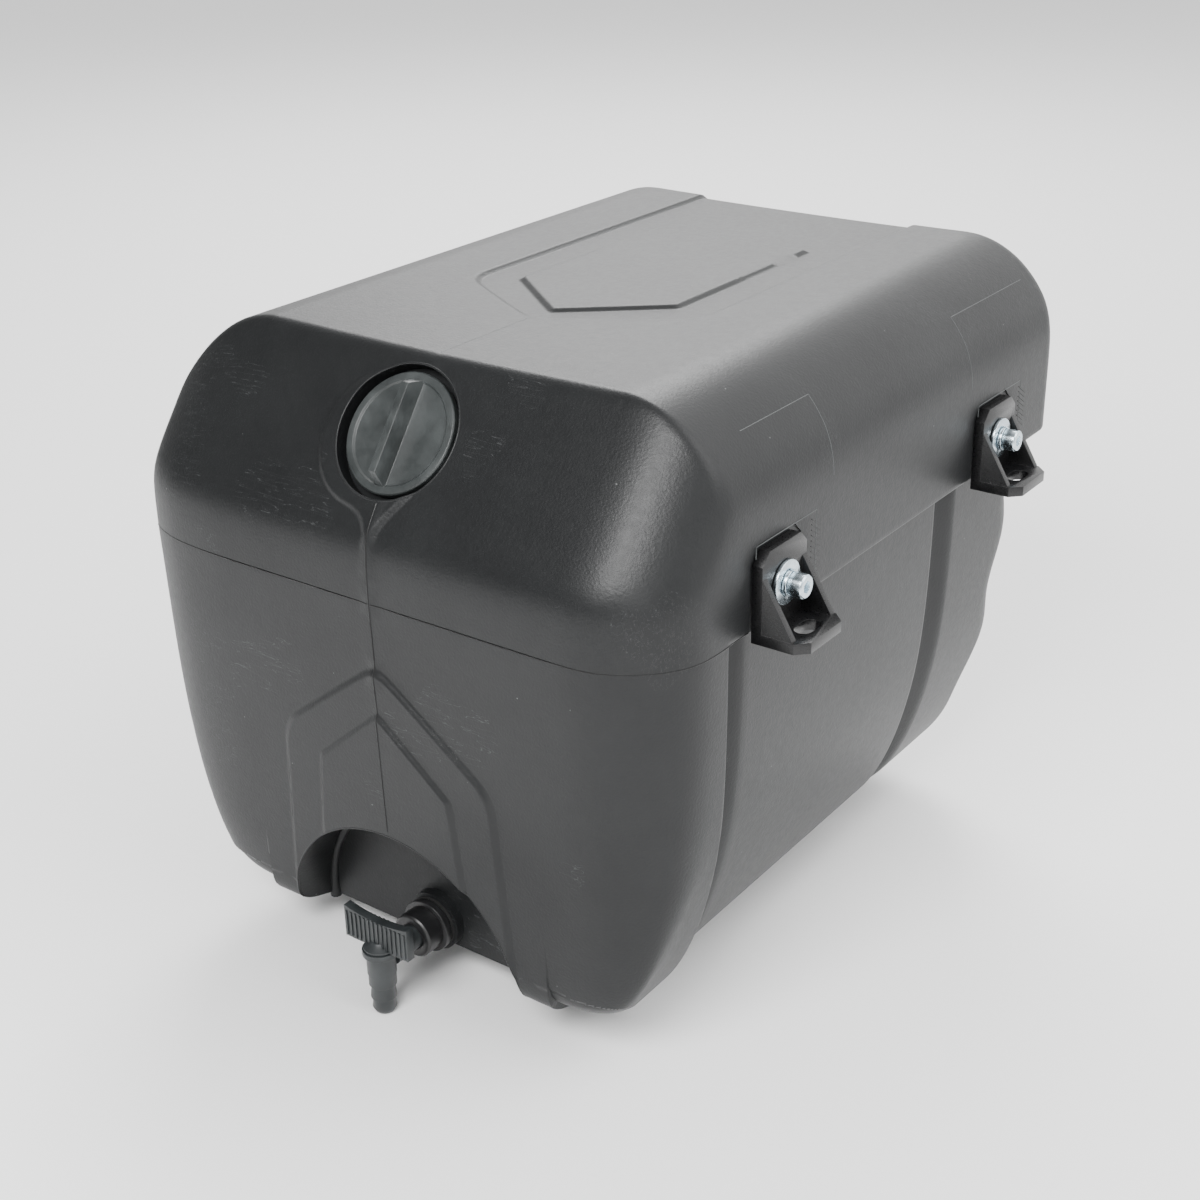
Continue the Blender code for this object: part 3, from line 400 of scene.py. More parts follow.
# ---- the shell's form, as a distance-like field over the tank's own frame ---------------------
def rounded_corner(u, v, radius_u, radius_v, power=2.0):
    """Negative inside u < 0, v < 0, with its corner rounded to the two radii."""
    inner_u = np.maximum(u + radius_u, 0) / radius_u
    inner_v = np.maximum(v + radius_v, 0) / radius_v
    reach = (inner_u ** power + inner_v ** power) ** (1 / power)
    at_corner = (inner_u > 0) & (inner_v > 0)
    return np.where(at_corner, (reach - 1) * np.minimum(radius_u, radius_v), np.maximum(u, v))


def meet(first, second, blend):
    """The space inside both, with the edge rounded over the blend."""
    gap = np.maximum(blend - np.abs(first - second), 0)
    return np.maximum(first, second) + gap ** 2 / (4 * blend)


def either(first, second, blend):
    """The space inside one or the other, with the inner corner filled over the blend."""
    return -meet(-first, -second, blend)


def step(value, low, high):
    """0 below low, 1 above high, smooth between."""
    t = np.clip((value - low) / (high - low), 0, 1)
    return t * t * (3 - 2 * t)


def beyond_line(u, v, first, second):
    """How far (u, v) lies to the left of the line from first to second."""
    du, dv = second[0] - first[0], second[1] - first[1]
    return (du * (v - first[1]) - dv * (u - first[0])) / math.hypot(du, dv)


def front_relief(x, z):
    """Two raised panels on the front, one on the other, and the ridge along the mould line."""
    outer = house_front(x, z, (0.0, 0.200), (0.074, 0.143), (0.0825, 0.020), 0.010)
    inner = house_front(x, z, (0.0, 0.1705), (0.0465, 0.131), (0.0525, 0.070), 0.002)
    raised = 0.0021 * (1 - step(outer, -0.0022, 0.0022))
    raised = raised + 0.0019 * (1 - step(inner, -0.0018, 0.0018))
    ridge = 0.0007 * np.exp(-(x / 0.0045) ** 2) * step(z, 0.160, 0.195)
    return raised + ridge


def house_front(x, z, apex, shoulder, foot, rounding):
    side = np.sqrt(x ** 2 + (0.5 * rounding) ** 2)
    roof = beyond_line(side, z, shoulder, apex)
    wall = beyond_line(side, z, foot, shoulder)
    return meet(-roof, -wall, rounding)


def top_relief(x, y):
    """A shallow sunk panel running to the rear, with a raised house in it."""
    sunk = house_front(x, -y, (0.0, -0.143), (0.080, -0.190), (0.080, -0.440), 0.014)
    roof = house_front(x, -y, (0.0, -0.163), (0.0555, -0.207), (0.0550, -0.350), 0.002)
    island = meet(roof, y - 0.350, 0.002)
    run = step(y, 0.130, 0.150)
    return (0.0022 * (1 - step(island, -0.0022, 0.0022))
            - 0.0022 * run * (1 - step(sunk, -0.0022, 0.0022)))


def slope_relief(x, z):
    """The soft pad round the filler, drawn out into the mould line below it."""
    up = (z - CREASE_Z) / math.cos(SLOPE_ANGLE)
    pad = np.hypot(x + 0.0150, up - 0.0545) - 0.0375
    tail = np.abs(x + 0.0005) - (0.0030 + 0.010 * np.clip((up - 0.004) / 0.03, 0, 1))
    tail = np.maximum(tail, up - 0.040)
    shape = either(pad, tail, 0.014)
    return 0.0016 * (1 - step(shape, -0.0025, 0.0030)) * step(up, -0.012, 0.010)


def groove_depth(y, start, length):
    """A side groove: a quick front wall and a long run-out behind."""
    return step(y, start, start + 0.0025) * (1 - step(y, start + 0.30 * length, start + length))


def shell_field(points):
    """Below zero inside the moulded shell's outer form."""
    x, y, z = np.abs(points[:, 0]), points[:, 1], points[:, 2]
    signed_x = points[:, 0]
    crease = np.logaddexp(0, (z - CREASE_Z) / 0.0055) * 0.0055
    sheared = y - crease * SETBACK / (HEIGHT - CREASE_Z)
    lean = 0.030 * np.maximum(LEDGE_Z - z, 0)
    top = HEIGHT - 0.0006 - 0.0010 * np.clip(1 - (x / 0.119) ** 2, 0, 1) + top_relief(x, y)
    upper = rounded_corner(x - HALF, z - top, HALF - 0.1187, HEIGHT - 0.2776)
    relief = front_relief(x, z) + slope_relief(signed_x, z) * 1.27
    to_right = signed_x > 0
    plan = rounded_corner(x - HALF, lean - sheared - relief, np.where(to_right, 0.065, 0.077),
                          np.where(to_right, 0.064, 0.027))
    foot = rounded_corner(lean - sheared - relief, -z, 0.0426, 0.0304)
    side = rounded_corner(x - HALF, -z, *SIDE_FALL)
    rear = rounded_corner(x - HALF, y - LENGTH, 0.014, 0.014)
    brow = meet(upper, plan, 0.0062 - 0.0030 * step(x, 0.100, 0.135))
    hip = 0.020 - 0.0185 * step(y, 0.028, 0.058)
    block = meet(meet(brow, meet(side, foot, hip), 0.006), rear, 0.012)
    keep = np.minimum(LEDGE_Z - z, y - GROOVE_STARTS[0])
    block = meet(block, keep, 0.0028)

    grooves = sum(groove_depth(y, start, length) * depth for start, length, depth
                  in zip(GROOVE_STARTS, GROOVE_LENGTHS, GROOVE_DEPTHS))
    inset = LEDGE_STEP + grooves
    low_side = rounded_corner(x - HALF + inset, -z, *SIDE_FALL)
    wave = REAR_WAVE * np.cos(2 * math.pi * (z - REAR_WAVE_TOP) / REAR_WAVE_PITCH)
    back = y - (LENGTH - 0.0245 - 0.10 * (LEDGE_Z - z) + wave)
    low_rear = rounded_corner(x - HALF + inset, back, 0.020, 0.020)
    low_foot = rounded_corner(back, -z, 0.032, 0.032)
    core = meet(meet(low_side, low_rear, 0.010), low_foot, 0.008)
    core = meet(core, 0.052 - y, 0.004)
    core = meet(core, z - LEDGE_Z - 0.02, 0.004)
    return either(block, core, 0.0035)


def field_normals(points):
    """Outward unit normals of the field."""
    tiny = 0.00025
    steps = []
    for axis in range(3):
        shift = np.zeros(3)
        shift[axis] = tiny
        steps.append(shell_field(points + shift) - shell_field(points - shift))
    normals = np.stack(steps, 1)
    return normals / np.maximum(np.linalg.norm(normals, axis=1, keepdims=True), 1e-12)


CORE_LOW = np.array([-0.100, 0.085, 0.236])
CORE_HIGH = np.array([0.100, 0.385, 0.262])


def onto_shell(points):
    """Moves points of the surrounding box to the shell, each along its own ray."""
    inner = np.clip(points, CORE_LOW, CORE_HIGH)
    ray = points - inner
    near = np.zeros(len(points))
    far = np.ones(len(points))
    for _ in range(24):
        middle = (near + far) / 2
        outside = shell_field(inner + ray * middle[:, None]) > 0
        far = np.where(outside, middle, far)
        near = np.where(outside, near, middle)
    return inner + ray * ((near + far) / 2)[:, None]


def surface_point(start, direction, reach=0.5):
    """Where a ray from inside the shell leaves it, in the tank's frame."""
    start = np.array(start, float)
    direction = np.array(direction, float)
    direction /= np.linalg.norm(direction)
    near, far = 0.0, reach
    for _ in range(36):
        middle = (near + far) / 2
        if shell_field((start + direction * middle)[None])[0] > 0:
            far = middle
        else:
            near = middle
    return start + direction * near


def vertex_array(mesh):
    flat = np.empty(len(mesh.vertices) * 3)
    mesh.vertices.foreach_get("co", flat)
    return flat.reshape(-1, 3)


def shell_skin():
    """A divided box shrunk onto the shell and divided again wherever the form turns."""
    body = bmesh.new()
    bmesh.ops.create_cube(body, size=1)
    low = np.array([-0.22, -0.05, -0.05])
    high = np.array([0.22, LENGTH + 0.05, HEIGHT + 0.05])
    bmesh.ops.scale(body, verts=body.verts, vec=high - low)
    bmesh.ops.translate(body, verts=body.verts, vec=(low + high) / 2)
    bmesh.ops.subdivide_edges(body, edges=body.edges[:], cuts=51, use_grid_fill=True)
    for tolerance, shortest in ((0.00022, 0.004), (0.00012, 0.002), (0.00010, 0.0011)):
        body.verts.ensure_lookup_table()
        body.edges.ensure_lookup_table()
        body.verts.index_update()
        box_points = np.array([v.co[:] for v in body.verts])
        pairs = np.array([(e.verts[0].index, e.verts[1].index) for e in body.edges])
        placed = onto_shell(box_points)
        ends = placed[pairs]
        middle = onto_shell((box_points[pairs[:, 0]] + box_points[pairs[:, 1]]) / 2)
        sag = np.linalg.norm(middle - ends.mean(axis=1), axis=1)
        normals = field_normals(placed)[pairs]
        turn = 1 - (normals[:, 0] * normals[:, 1]).sum(axis=1)
        length = np.linalg.norm(ends[:, 0] - ends[:, 1], axis=1)
        wanted = ((sag > tolerance) | (turn > 0.02)) & (length > shortest)
        chosen = {body.edges[i] for i in np.nonzero(wanted)[0]}
        faces = {face for edge in chosen for face in edge.link_faces}
        edges = {edge for face in faces for edge in face.edges if len(face.verts) == 4}
        bmesh.ops.subdivide_edges(body, edges=list(edges | chosen), cuts=1,
                                  use_grid_fill=True, use_single_edge=True)
    bmesh.ops.triangulate(body, faces=[f for f in body.faces if len(f.verts) > 4])
    mesh = bpy.data.meshes.new("shell_skin")
    body.to_mesh(mesh)
    body.free()
    placed = onto_shell(vertex_array(mesh)) + np.array(BASE)
    mesh.vertices.foreach_set("co", placed.ravel())
    mesh.update()
    return mesh


def side_matrix(side, y, x, z=BOLT_Z):
    """X along the tank, Y up and Z out of the side, in world space."""
    turn = Matrix(((0, 0, side, 0), (1, 0, 0, 0), (0, 1, 0, 0), (0, 0, 0, 1)))
    return Matrix.Translation(BASE + Vector((side * x, y, z))) @ turn


def bracket_places():
    for end, y in BRACKET_YS.items():
        for side_name, side in (("right", 1), ("left", -1)):
            yield f"{end}_{side_name}", side, y


def pocket_outline():
    """The bracket's pocket: square below, clipped corners above."""
    half, top, clip = BRACKET_POCKET_HALF, BRACKET_POCKET_TOP, BRACKET_POCKET_CLIP
    foot = -BRACKET_POCKET_FOOT
    return [(-half, foot), (half, foot), (half, top - clip), (half - clip, top),
            (clip - half, top), (-half, top - clip)]


def circle(radius, steps):
    return arc_points((0, 0), radius, 0, 360 - 360 / steps, steps - 1)


def shell_openings():
    """What is sunk into the shell's face: niche, filler pocket and bracket pockets."""
    front = Matrix.Translation(BASE) @ TOWARDS_FRONT
    arch = arc_points((0, NICHE_CENTRE_Z), NICHE_RADIUS, 180, 0, 72)
    arch += [(NICHE_RADIUS, -CUT_CLEAR), (-NICHE_RADIUS, -CUT_CLEAR)]
    cuts = [outline_prism("niche", arch, -NICHE_DEPTH, CUT_CLEAR, front),
            outline_prism("filler_pocket", circle(POCKET_RADIUS, 96), -POCKET_DEPTH, CUT_CLEAR,
                          FILLER)]
    for name, side, y in bracket_places():
        cuts.append(outline_prism("pocket_" + name, pocket_outline(), -BRACKET_POCKET_DEPTH,
                                  0.02, side_matrix(side, y, HALF)))
    return joined("openings", cuts)


def neck_bore():
    """The filler neck's bore, sunk below the floor of the filler pocket."""
    return outline_prism("neck_bore", circle(NECK_RADIUS, 72), -NECK_DEPTH,
                         0.001 - POCKET_DEPTH, FILLER)


def outlet_boss():
    """The round boss on the niche's back wall that the outlet adaptor seats against."""
    place = Matrix.Translation(BASE + Vector((0, 0, TAP_Z))) @ TOWARDS_FRONT
    return smoothed(outline_prism("outlet_boss", circle(BOSS_RADIUS, 72),
                                  -NICHE_DEPTH - 0.0005, -BOSS_FACE, place), 30.0)


def cut_away(mesh, removed):
    """The mesh with another closed mesh taken out of it."""
    item = temporary("whole", mesh)
    cutter = temporary("cutter", removed)
    cut = item.modifiers.new("Cut", "BOOLEAN")
    cut.operation = "DIFFERENCE"
    cut.solver = "EXACT"
    cut.object = cutter
    result = baked(item, "tank_surface")
    bpy.data.objects.remove(cutter, do_unlink=True)
    return result


def shell_mesh():
    """The shell's skin with its openings cut, and true normals on the moulded form."""
    mesh = cut_away(cut_away(shell_skin(), shell_openings()), neck_bore())
    smoothed(mesh, 30.0)
    points = vertex_array(mesh) - np.array(BASE)
    on_form = np.abs(shell_field(points)) < 0.0004
    form_normals = field_normals(points)
    corners = np.empty(len(mesh.loops) * 3, dtype=np.float32)
    mesh.corner_normals.foreach_get("vector", corners)
    corners = corners.reshape(-1, 3)
    corner_verts = np.empty(len(mesh.loops), dtype=np.int32)
    mesh.loops.foreach_get("vertex_index", corner_verts)
    loop_counts = np.empty(len(mesh.polygons), dtype=np.int32)
    mesh.polygons.foreach_get("loop_total", loop_counts)
    face_normals = np.empty(len(mesh.polygons) * 3, dtype=np.float32)
    mesh.polygons.foreach_get("normal", face_normals)
    of_face = np.repeat(face_normals.reshape(-1, 3), loop_counts, axis=0)
    wanted = form_normals[corner_verts]
    agrees = (wanted * of_face).sum(axis=1) > 0.55
    use = on_form[corner_verts] & agrees
    result = np.where(use[:, None], wanted, corners)
    mesh.normals_split_custom_set(result.tolist())
    return mesh


# ---- the mould's marks ------------------------------------------------------------------------
def along_surface(places, directions, sink=0.0):
    points = []
    for start, direction in zip(places, directions):
        at = surface_point(start, direction)
        normal = field_normals(at[None])[0]
        points.append(Vector(at - normal * sink) + BASE)
    return points


def mould_line_beads(radius):
    """Flash along the mould's parting lines, coloured near-black as painted shade, and the witness
    lines of its inserts, coloured pale as painted highlight.
    """
    flash, witness = [], []

    def bead(group, places, directions, size):
        group.append(tube(along_surface(places, directions, size * 0.45), size))

    forward = (0, -1, 0)
    seam_front = [(0.0, 0.12, z) for z in np.linspace(0.097, 0.289, 70)]
    bead(flash, seam_front, [forward] * len(seam_front), radius * 1.25)
    seam_top = [(0.0, y, 0.30) for y in np.linspace(0.0685, 0.142, 24)]
    bead(witness, seam_top, [(0, 0, 1)] * len(seam_top), radius * 0.45)
    turns = np.radians(np.linspace(-87.0, 87.0, 150))
    seam_round = [(0.115 * math.sin(t), 0.085, LEDGE_Z + 0.001) for t in turns]
    spread = [(math.sin(t) * (0.6 + abs(math.sin(t))), -math.cos(t), 0.0) for t in turns]
    bead(flash, seam_round, spread, radius)
    for side in (1, -1):
        for y0, y1 in INSERT_FRAMES:
            rim = [(y0, INSERT_LOW), (y0, INSERT_HIGH), (y1, INSERT_HIGH), (y1, INSERT_LOW)]
            places = []
            for (ya, za), (yb, zb) in zip(rim, rim[1:]):
                places += [(0.1 * side, ya + (yb - ya) * t, za + (zb - za) * t)
                           for t in np.linspace(0, 1, 9)]
            bead(witness, places, [(side, 0, 0)] * len(places), radius * 0.55)
        for y0, y1 in ((0.099, 0.165), (0.328, 0.424)):
            first, last = (y1, y0) if y0 < 0.2 else (y0, y1)
            fall = np.radians(np.linspace(14.0, 51.0, 16))
            places = [(0.118 * side, first, 0.278)] * len(fall)
            bead(witness, places, [(side * math.cos(t), 0, math.sin(t)) for t in fall],
                 radius * 0.4)
            run = np.linspace(first, last, 20)
            t = math.radians(51.0)
            bead(witness, [(0.118 * side, y, 0.278) for y in run],
                 [(side * math.cos(t), 0, math.sin(t))] * len(run), radius * 0.4)
    return flash, witness


def rim_beads(radius):
    """The rounded lips where the niche and the filler pocket break the surface."""
    beads = []
    turns = np.radians(np.linspace(176.0, 4.0, 90))
    lip = [(NICHE_RADIUS * math.cos(t), 0.10, NICHE_CENTRE_Z + NICHE_RADIUS * math.sin(t))
           for t in turns]
    beads.append(tube(along_surface(lip, [(0, -1, 0)] * len(lip), radius * 0.7), radius, False,
                      2))
    band = [BASE + Vector((NICHE_RADIUS * math.cos(t), NICHE_DEPTH,
                           NICHE_CENTRE_Z + NICHE_RADIUS * math.sin(t))) for t in turns]
    for end, place in ((0, band[0]), (len(band) + 1, band[-1])):
        band.insert(end, Vector((place.x, place.y, BASE.z + 0.0015)))
    beads.append(tube(band, 0.0035, False, 3))
    ring = []
    for t in np.linspace(0, 2 * math.pi, 96, endpoint=False):
        local = FILLER @ Vector((POCKET_RADIUS * math.cos(t), POCKET_RADIUS * math.sin(t),
                                 -0.03)) - BASE
        ring.append(tuple(local))
    lip = along_surface(ring, [tuple(SLOPE_NORMAL)] * len(ring), radius * 0.6)
    beads.append(tube(lip, radius, True, 2))
    return beads


# ---- geometry nodes ---------------------------------------------------------------------------
def repeated_bars(name, places, size_sockets, surface, rotation):
    """Small bars on a row of points, set out by a geometry node tree with named sizes."""
    tree = bpy.data.node_groups.new(name, "GeometryNodeTree")
    tree.interface.new_socket("Geometry", in_out="INPUT", socket_type="NodeSocketGeometry")
    ids = {}
    for label, value in size_sockets.items():
        socket = tree.interface.new_socket(label, in_out="INPUT", socket_type="NodeSocketFloat")
        socket.subtype = "DISTANCE"
        socket.default_value = value
        ids[label] = socket.identifier
    tree.interface.new_socket("Geometry", in_out="OUTPUT", socket_type="NodeSocketGeometry")
    given = add_node(tree, "NodeGroupInput")
    size = add_node(tree, "ShaderNodeCombineXYZ", None,
                    {"X": given.outputs["Length"], "Y": given.outputs["Width"],
                     "Z": given.outputs["Height"]})
    bar = add_node(tree, "GeometryNodeMeshCube", None, {"Size": size.outputs["Vector"]})
    points = add_node(tree, "GeometryNodeMeshToPoints", None,
                      {"Mesh": given.outputs["Geometry"]})
    laid = add_node(tree, "GeometryNodeInstanceOnPoints", None,
                    {"Points": points.outputs["Points"], "Instance": bar.outputs["Mesh"],
                     "Rotation": rotation})
    real = add_node(tree, "GeometryNodeRealizeInstances", None,
                    {"Geometry": laid.outputs["Instances"]})
    coated = add_node(tree, "GeometryNodeSetMaterial", None,
                      {"Geometry": real.outputs["Geometry"], "Material": surface})
    result = add_node(tree, "NodeGroupOutput")
    tree.links.new(coated.outputs["Geometry"], result.inputs["Geometry"])
    mesh = bpy.data.meshes.new(name)
    mesh.from_pydata([tuple(p) for p in places], [], [])
    item = temporary(name, mesh)
    modifier = item.modifiers.new(name, "NODES")
    modifier.node_group = tree
    for label, value in size_sockets.items():
        modifier[ids[label]] = value
    return baked(item, name)


# ---- operators --------------------------------------------------------------------------------
class TankSizes(bpy.types.PropertyGroup):
    """Sizes of the fine detail that can be changed."""
    bead: FloatProperty(name="Mould line", description="Radius of the flash along the mould lines",
                        default=0.00052, min=0.0001, unit="LENGTH")
    lip: FloatProperty(name="Lip", description="Radius of the lips round the openings",
                       default=0.0007, min=0.0001, unit="LENGTH")
    bracket_round: FloatProperty(name="Bracket edge", description="Edge radius of the brackets",
                                 default=0.0006, min=0.0001, unit="LENGTH")
    metal_round: FloatProperty(name="Metal edge", description="Edge radius of the metal parts",
                               default=0.0003, min=0.0001, unit="LENGTH")
    rib_pitch: FloatProperty(name="Rib pitch", description="Spacing of the handle's ribs",
                             default=0.0033, min=0.001, unit="LENGTH")


class TankColours(bpy.types.PropertyGroup):
    """Colours that can be changed, as linear values."""
    shell: FloatVectorProperty(name="Shell", description="Colour of the moulded shell",
                               subtype="COLOR", default=linear("#131415"), min=0, max=1)
    bracket: FloatVectorProperty(name="Brackets", description="Colour of the brackets",
                                 subtype="COLOR", default=linear("#0a0a0b"), min=0, max=1)
    zinc: FloatVectorProperty(name="Zinc", description="Colour of the plated fasteners",
                              subtype="COLOR", default=linear("#cfdbe2"), min=0, max=1)
    tap: FloatVectorProperty(name="Tap", description="Colour of the tap",
                             subtype="COLOR", default=linear("#212425"), min=0, max=1)


def hex_of(colour):
    """A linear colour as an sRGB hex value."""
    values = [12.92 * v if v <= 0.0031308 else 1.055 * v ** (1 / 2.4) - 0.055 for v in colour]
    return "#" + "".join(f"{round(255 * min(max(v, 0), 1)):02x}" for v in values)


def finish(name):
    """A finish by name, made the first time it is asked for."""
    colours = bpy.context.scene.tank_colours
    makers = {
        "shell": lambda: moulded_polyethylene("blow_moulded_polyethylene",
                                              hex_of(colours.shell)),
        # Near-black finish: painted shade along the parting flash. The tool marks use it too.
        "flash": lambda: moulded_polyethylene("near_black_painted_shade", "#070707"),
        # Pale grey finish: painted highlight along the witness lines.
        "witness": lambda: moulded_polyethylene("witness_line_painted_highlight", "#4c4f4f"),
        "bracket": lambda: glass_filled_nylon(hex_of(colours.bracket)),
        "zinc_steel": lambda: zinc_plated_steel(hex_of(colours.zinc)),
        "cap": lambda: turned_polypropylene("cap_polypropylene", "#272a2a", 0.36),
        "tap": lambda: turned_polypropylene("tap_polypropylene", hex_of(colours.tap), 0.38),
        "adaptor": lambda: turned_polypropylene("adaptor_nylon", "#121213", 0.34),
        "brass": turned_brass,
        "rubber": nitrile_rubber,
    }
    if name not in FINISHES:
        FINISHES[name] = makers[name]()
    return FINISHES[name]


FINISHES = {}


class TANK_OT_shell(bpy.types.Operator):
    """Builds the moulded shell with its pockets, niche and mould lines"""
    bl_idname = "tank.shell"
    bl_label = "Moulded shell"

    def execute(self, context):
        sizes = context.scene.tank_sizes
        finished("tank_moulding", shell_mesh(), finish("shell"), "tank", "shell", "tank_shell")
        flash, witness = mould_line_beads(sizes.bead)
        finished("outlet_boss", outlet_boss(), finish("shell"), "tank", "shell")
        lips = joined("opening_lips", rim_beads(sizes.lip))
        finished("opening_lips", smoothed(lips, 60.0), finish("shell"), "tank", "shell")
        # The parting flash takes the near-black finish: painted shade along the mould lines.
        flash = joined("parting_flash_painted_shade", flash)
        finished("parting_flash_painted_shade", smoothed(flash, 60.0), finish("flash"), "tank", "shell")
        # The witness lines take the pale finish: painted highlight where their edges would catch
        # the light.
        witness = joined("witness_lines_painted_highlight", witness)
        finished("witness_lines_painted_highlight", smoothed(witness, 60.0), finish("witness"), "tank", "shell")
        return {"FINISHED"}


class TANK_OT_hatching(bpy.types.Operator):
    """Lays the short slanted tool marks beside each bracket pocket"""
    bl_idname = "tank.hatching"
    bl_label = "Tool marks"

    def execute(self, context):
        bars = []
        for side in (1, -1):
            places = []
            for y0 in MARK_YS:
                places += [BASE + Vector((side * (HALF - 0.0001), y0, z))
                           for z in np.arange(0.241, 0.278, 0.0030)]
            sizes = {"Length": 0.00045, "Width": 0.0115, "Height": 0.00045}
            bars.append(repeated_bars(f"tool_marks_{'right' if side > 0 else 'left'}", places,
                                      sizes, finish("flash"), (math.radians(-32), 0, 0)))
        finished("tool_marks", joined("tool_marks", bars), finish("flash"), "tank", "shell")
        return {"FINISHED"}


class TANK_OT_brackets(bpy.types.Operator):
    """Builds the four brackets with their screws and washers"""
    bl_idname = "tank.brackets"
    bl_label = "Brackets and fixings"

    def execute(self, context):
        sizes = context.scene.tank_sizes
        for name, _, _ in bracket_places():
            node = "mounting_bracket_" + name
            finished("angle_bracket_" + name, softened_copy(node, node, sizes.bracket_round),
                     finish("bracket"), "tank", "bracket", node)
            for kind, label in (("bracket_bolt_", "socket_screw_"), ("flat_washer_", "washer_"),
                                ("spring_washer_", "split_washer_")):
                node = kind + name
                finished(label + name, softened_copy(node, node, sizes.metal_round, 2),
                         finish("zinc_steel"), "tank", "zinc_steel", node)
        return {"FINISHED"}


class TANK_OT_cap(bpy.types.Operator):
    """Builds the filler cap with its grip bar"""
    bl_idname = "tank.cap"
    bl_label = "Filler cap"

    def execute(self, context):
        mesh = softened_copy("filler_cap", "cap_surface", 0.0004, 3, 40.0)
        finished("screw_cap", mesh, finish("cap"), "cap", "cap", "filler_cap")
        return {"FINISHED"}


class TANK_OT_tap(bpy.types.Operator):
    """Builds the tap: body, ribbed handle, union nut and adaptor"""
    bl_idname = "tank.tap"
    bl_label = "Tap"

    def execute(self, context):
        pitch = context.scene.tank_sizes.rib_pitch
        finished("tap_casting", softened_copy("tap_body", "tap_surface", 0.0003, 2, 40.0),
                 finish("tap"), "tank", "tap", "tap_body")
        handle = softened_copy("tap_handle", "handle_surface", 0.0003, 2, 40.0)
        finished("wing_handle", handle, finish("tap"), "handle", "tap", "tap_handle")
        low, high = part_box("tap_handle")
        rows = np.arange(low[0] + 0.5 * pitch, high[0], pitch)
        ribs = []
        for side in (-1, 1):
            y = BASE.y + TAP_AXIS_Y + side * 0.0029
            places = [(x, y, BASE.z + 0.0375) for x in rows]
            sizes = {"Length": 0.0012, "Width": 0.0012, "Height": 0.0160}
            ribs.append(repeated_bars("wing_ribs", places, sizes, finish("tap"), (0, 0, 0)))
        finished("wing_ribs", joined("wing_ribs", ribs), finish("tap"), "handle", "tap")
        nut = softened_copy("tap_union_nut", "nut_surface", 0.0003, 2, 40.0)
        finished("union_nut", nut, finish("adaptor"), "tank", "adaptor", "tap_union_nut")
        collar = softened_copy("outlet_adaptor", "adaptor_surface", 0.0003, 2, 40.0)
        finished("threaded_adaptor", collar, finish("adaptor"), "tank", "adaptor",
                 "outlet_adaptor")
        return {"FINISHED"}


class TANK_OT_hidden_parts(bpy.types.Operator):
    """Gives the seals and inserts that stay as they are their finishes"""
    bl_idname = "tank.hidden_parts"
    bl_label = "Seals and inserts"

    def execute(self, context):
        for name in ("filler_gasket", "outlet_gasket", "tap_union_seal", "tap_o_ring"):
            bpy.data.objects[name].material_slots[0].material = finish("rubber")
        for name, _, _ in bracket_places():
            node = bpy.data.objects["threaded_insert_" + name]
            node.material_slots[0].material = finish("brass")
        return {"FINISHED"}


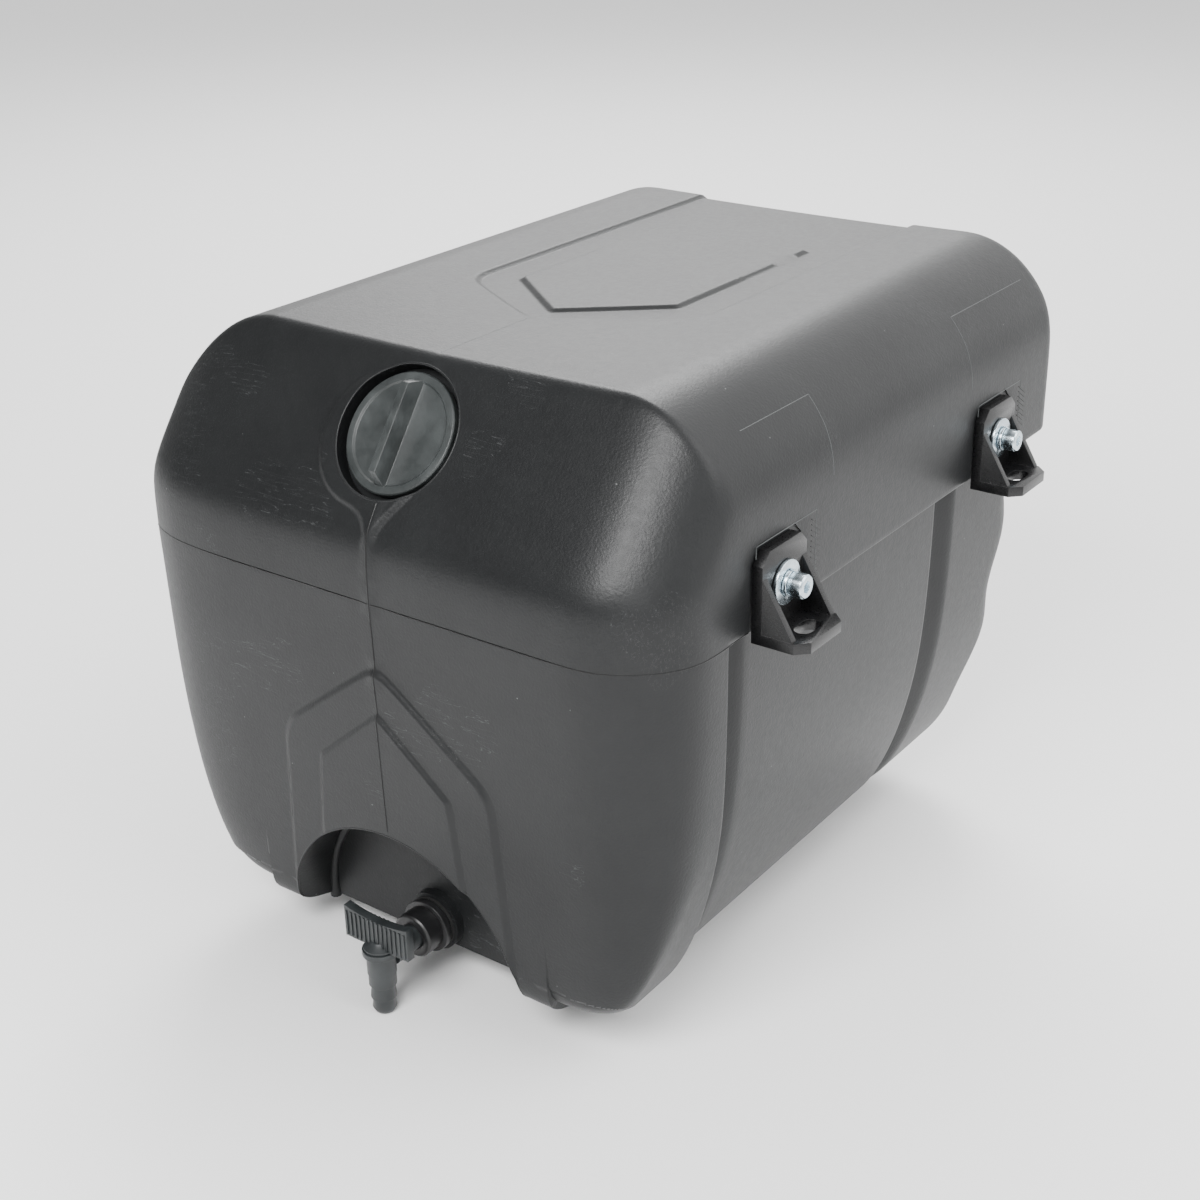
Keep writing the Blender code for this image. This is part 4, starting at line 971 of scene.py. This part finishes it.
class TANK_OT_stage(bpy.types.Operator):
    """Sets the floor, the backdrop, the soft lights and the camera"""
    bl_idname = "tank.stage"
    bl_label = "Stage"

    def execute(self, context):
        scene = context.scene
        bpy.ops.mesh.primitive_plane_add(size=60.0, location=(0, 0, -0.0005))
        floor = context.object
        floor.name = "floor"
        paper, _, _ = new_material("pale_paper", "#f7f7f7", 0.9)
        floor.data.materials.append(paper)
        self.add_surroundings(scene)
        self.add_lights(scene)
        self.add_camera(scene)
        return {"FINISHED"}

    def add_surroundings(self, scene):
        """A pale backdrop behind the tank that falls off to a dim room in front of it."""
        world = scene.world or bpy.data.worlds.new("studio")
        scene.world = world
        world.use_nodes = True
        tree = world.node_tree
        toward = add_node(tree, "ShaderNodeTexCoord").outputs["Generated"]
        along = add_node(tree, "ShaderNodeVectorMath", {"operation": "DOT_PRODUCT"})
        tree.links.new(toward, along.inputs[0])
        along.inputs[1].default_value = (0.42, 0.90, 0.0)
        background = tree.nodes["Background"]
        background.inputs["Color"].default_value = (1, 1, 1, 1)
        tree.links.new(ranged(tree, along.outputs["Value"], -0.3, 0.5, 0.3, 2.2),
                       background.inputs["Strength"])

    def add_lights(self, scene):
        middle = Vector((0, 0, 0.18))
        for name, place, width, depth, power in (
                ("back_softbox", (-1.15, 1.70, 2.15), 1.4, 1.4, 70.0),
                ("side_softbox", (1.15, 0.30, 1.45), 1.2, 1.2, 14.0),
                ("key_softbox", (0.30, -1.26, 1.34), 0.85, 0.65, 42.0),
                ("low_fill", (0.98, -1.20, 0.62), 0.40, 0.40, 3.5)):
            light = bpy.data.lights.new(name, "AREA")
            light.shape = "RECTANGLE"
            light.size = width
            light.size_y = depth
            light.energy = power
            lamp = bpy.data.objects.new(name, light)
            scene.collection.objects.link(lamp)
            lamp.location = place
            lamp.rotation_euler = (Vector(place) - middle).to_track_quat("Z", "Y").to_euler()
            lamp.visible_camera = False

    def add_camera(self, scene):
        azimuth, elevation, roll = 0.63631, 0.44075, -0.01908
        back = Vector((math.sin(azimuth) * math.cos(elevation),
                       -math.cos(azimuth) * math.cos(elevation), math.sin(elevation)))
        right = Vector((math.cos(azimuth), math.sin(azimuth), 0))
        up = back.cross(right)
        across = right * math.cos(roll) + up * math.sin(roll)
        over = up * math.cos(roll) - right * math.sin(roll)
        lens = bpy.data.cameras.new("view")
        lens.sensor_width = 36.0
        lens.lens = 55.1
        lens.clip_start = 0.05
        camera = bpy.data.objects.new("view", lens)
        scene.collection.objects.link(camera)
        turn = Matrix((across, over, back)).transposed().to_4x4()
        camera.matrix_world = Matrix.Translation(BASE + Vector((0.6093, -0.6213, 0.6431))) @ turn
        scene.camera = camera


class TANK_PT_panel(bpy.types.Panel):
    """Lists the tank's pieces in the sidebar"""
    bl_idname = "TANK_PT_panel"
    bl_label = "Fresh water tank"
    bl_space_type = "VIEW_3D"
    bl_region_type = "UI"
    bl_category = "Tank"

    def draw(self, context):
        for operator in BUILD_ORDER:
            self.layout.operator(operator.bl_idname)
        for group in (context.scene.tank_sizes, context.scene.tank_colours):
            for name in group.__annotations__:
                self.layout.prop(group, name)


BUILD_ORDER = (TANK_OT_shell, TANK_OT_hatching, TANK_OT_brackets, TANK_OT_cap, TANK_OT_tap,
               TANK_OT_hidden_parts, TANK_OT_stage)
CLASSES = (TankSizes, TankColours) + BUILD_ORDER + (TANK_PT_panel,)


def register():
    for item in CLASSES:
        bpy.utils.register_class(item)
    bpy.types.Scene.tank_sizes = bpy.props.PointerProperty(type=TankSizes)
    bpy.types.Scene.tank_colours = bpy.props.PointerProperty(type=TankColours)


def unregister():
    del bpy.types.Scene.tank_colours
    del bpy.types.Scene.tank_sizes
    for item in reversed(CLASSES):
        bpy.utils.unregister_class(item)


def main():
    register()
    bpy.ops.tank.shell()
    bpy.ops.tank.hatching()
    bpy.ops.tank.brackets()
    bpy.ops.tank.cap()
    bpy.ops.tank.tap()
    bpy.ops.tank.hidden_parts()
    bpy.ops.tank.stage()


if __name__ == "__main__":
    main()
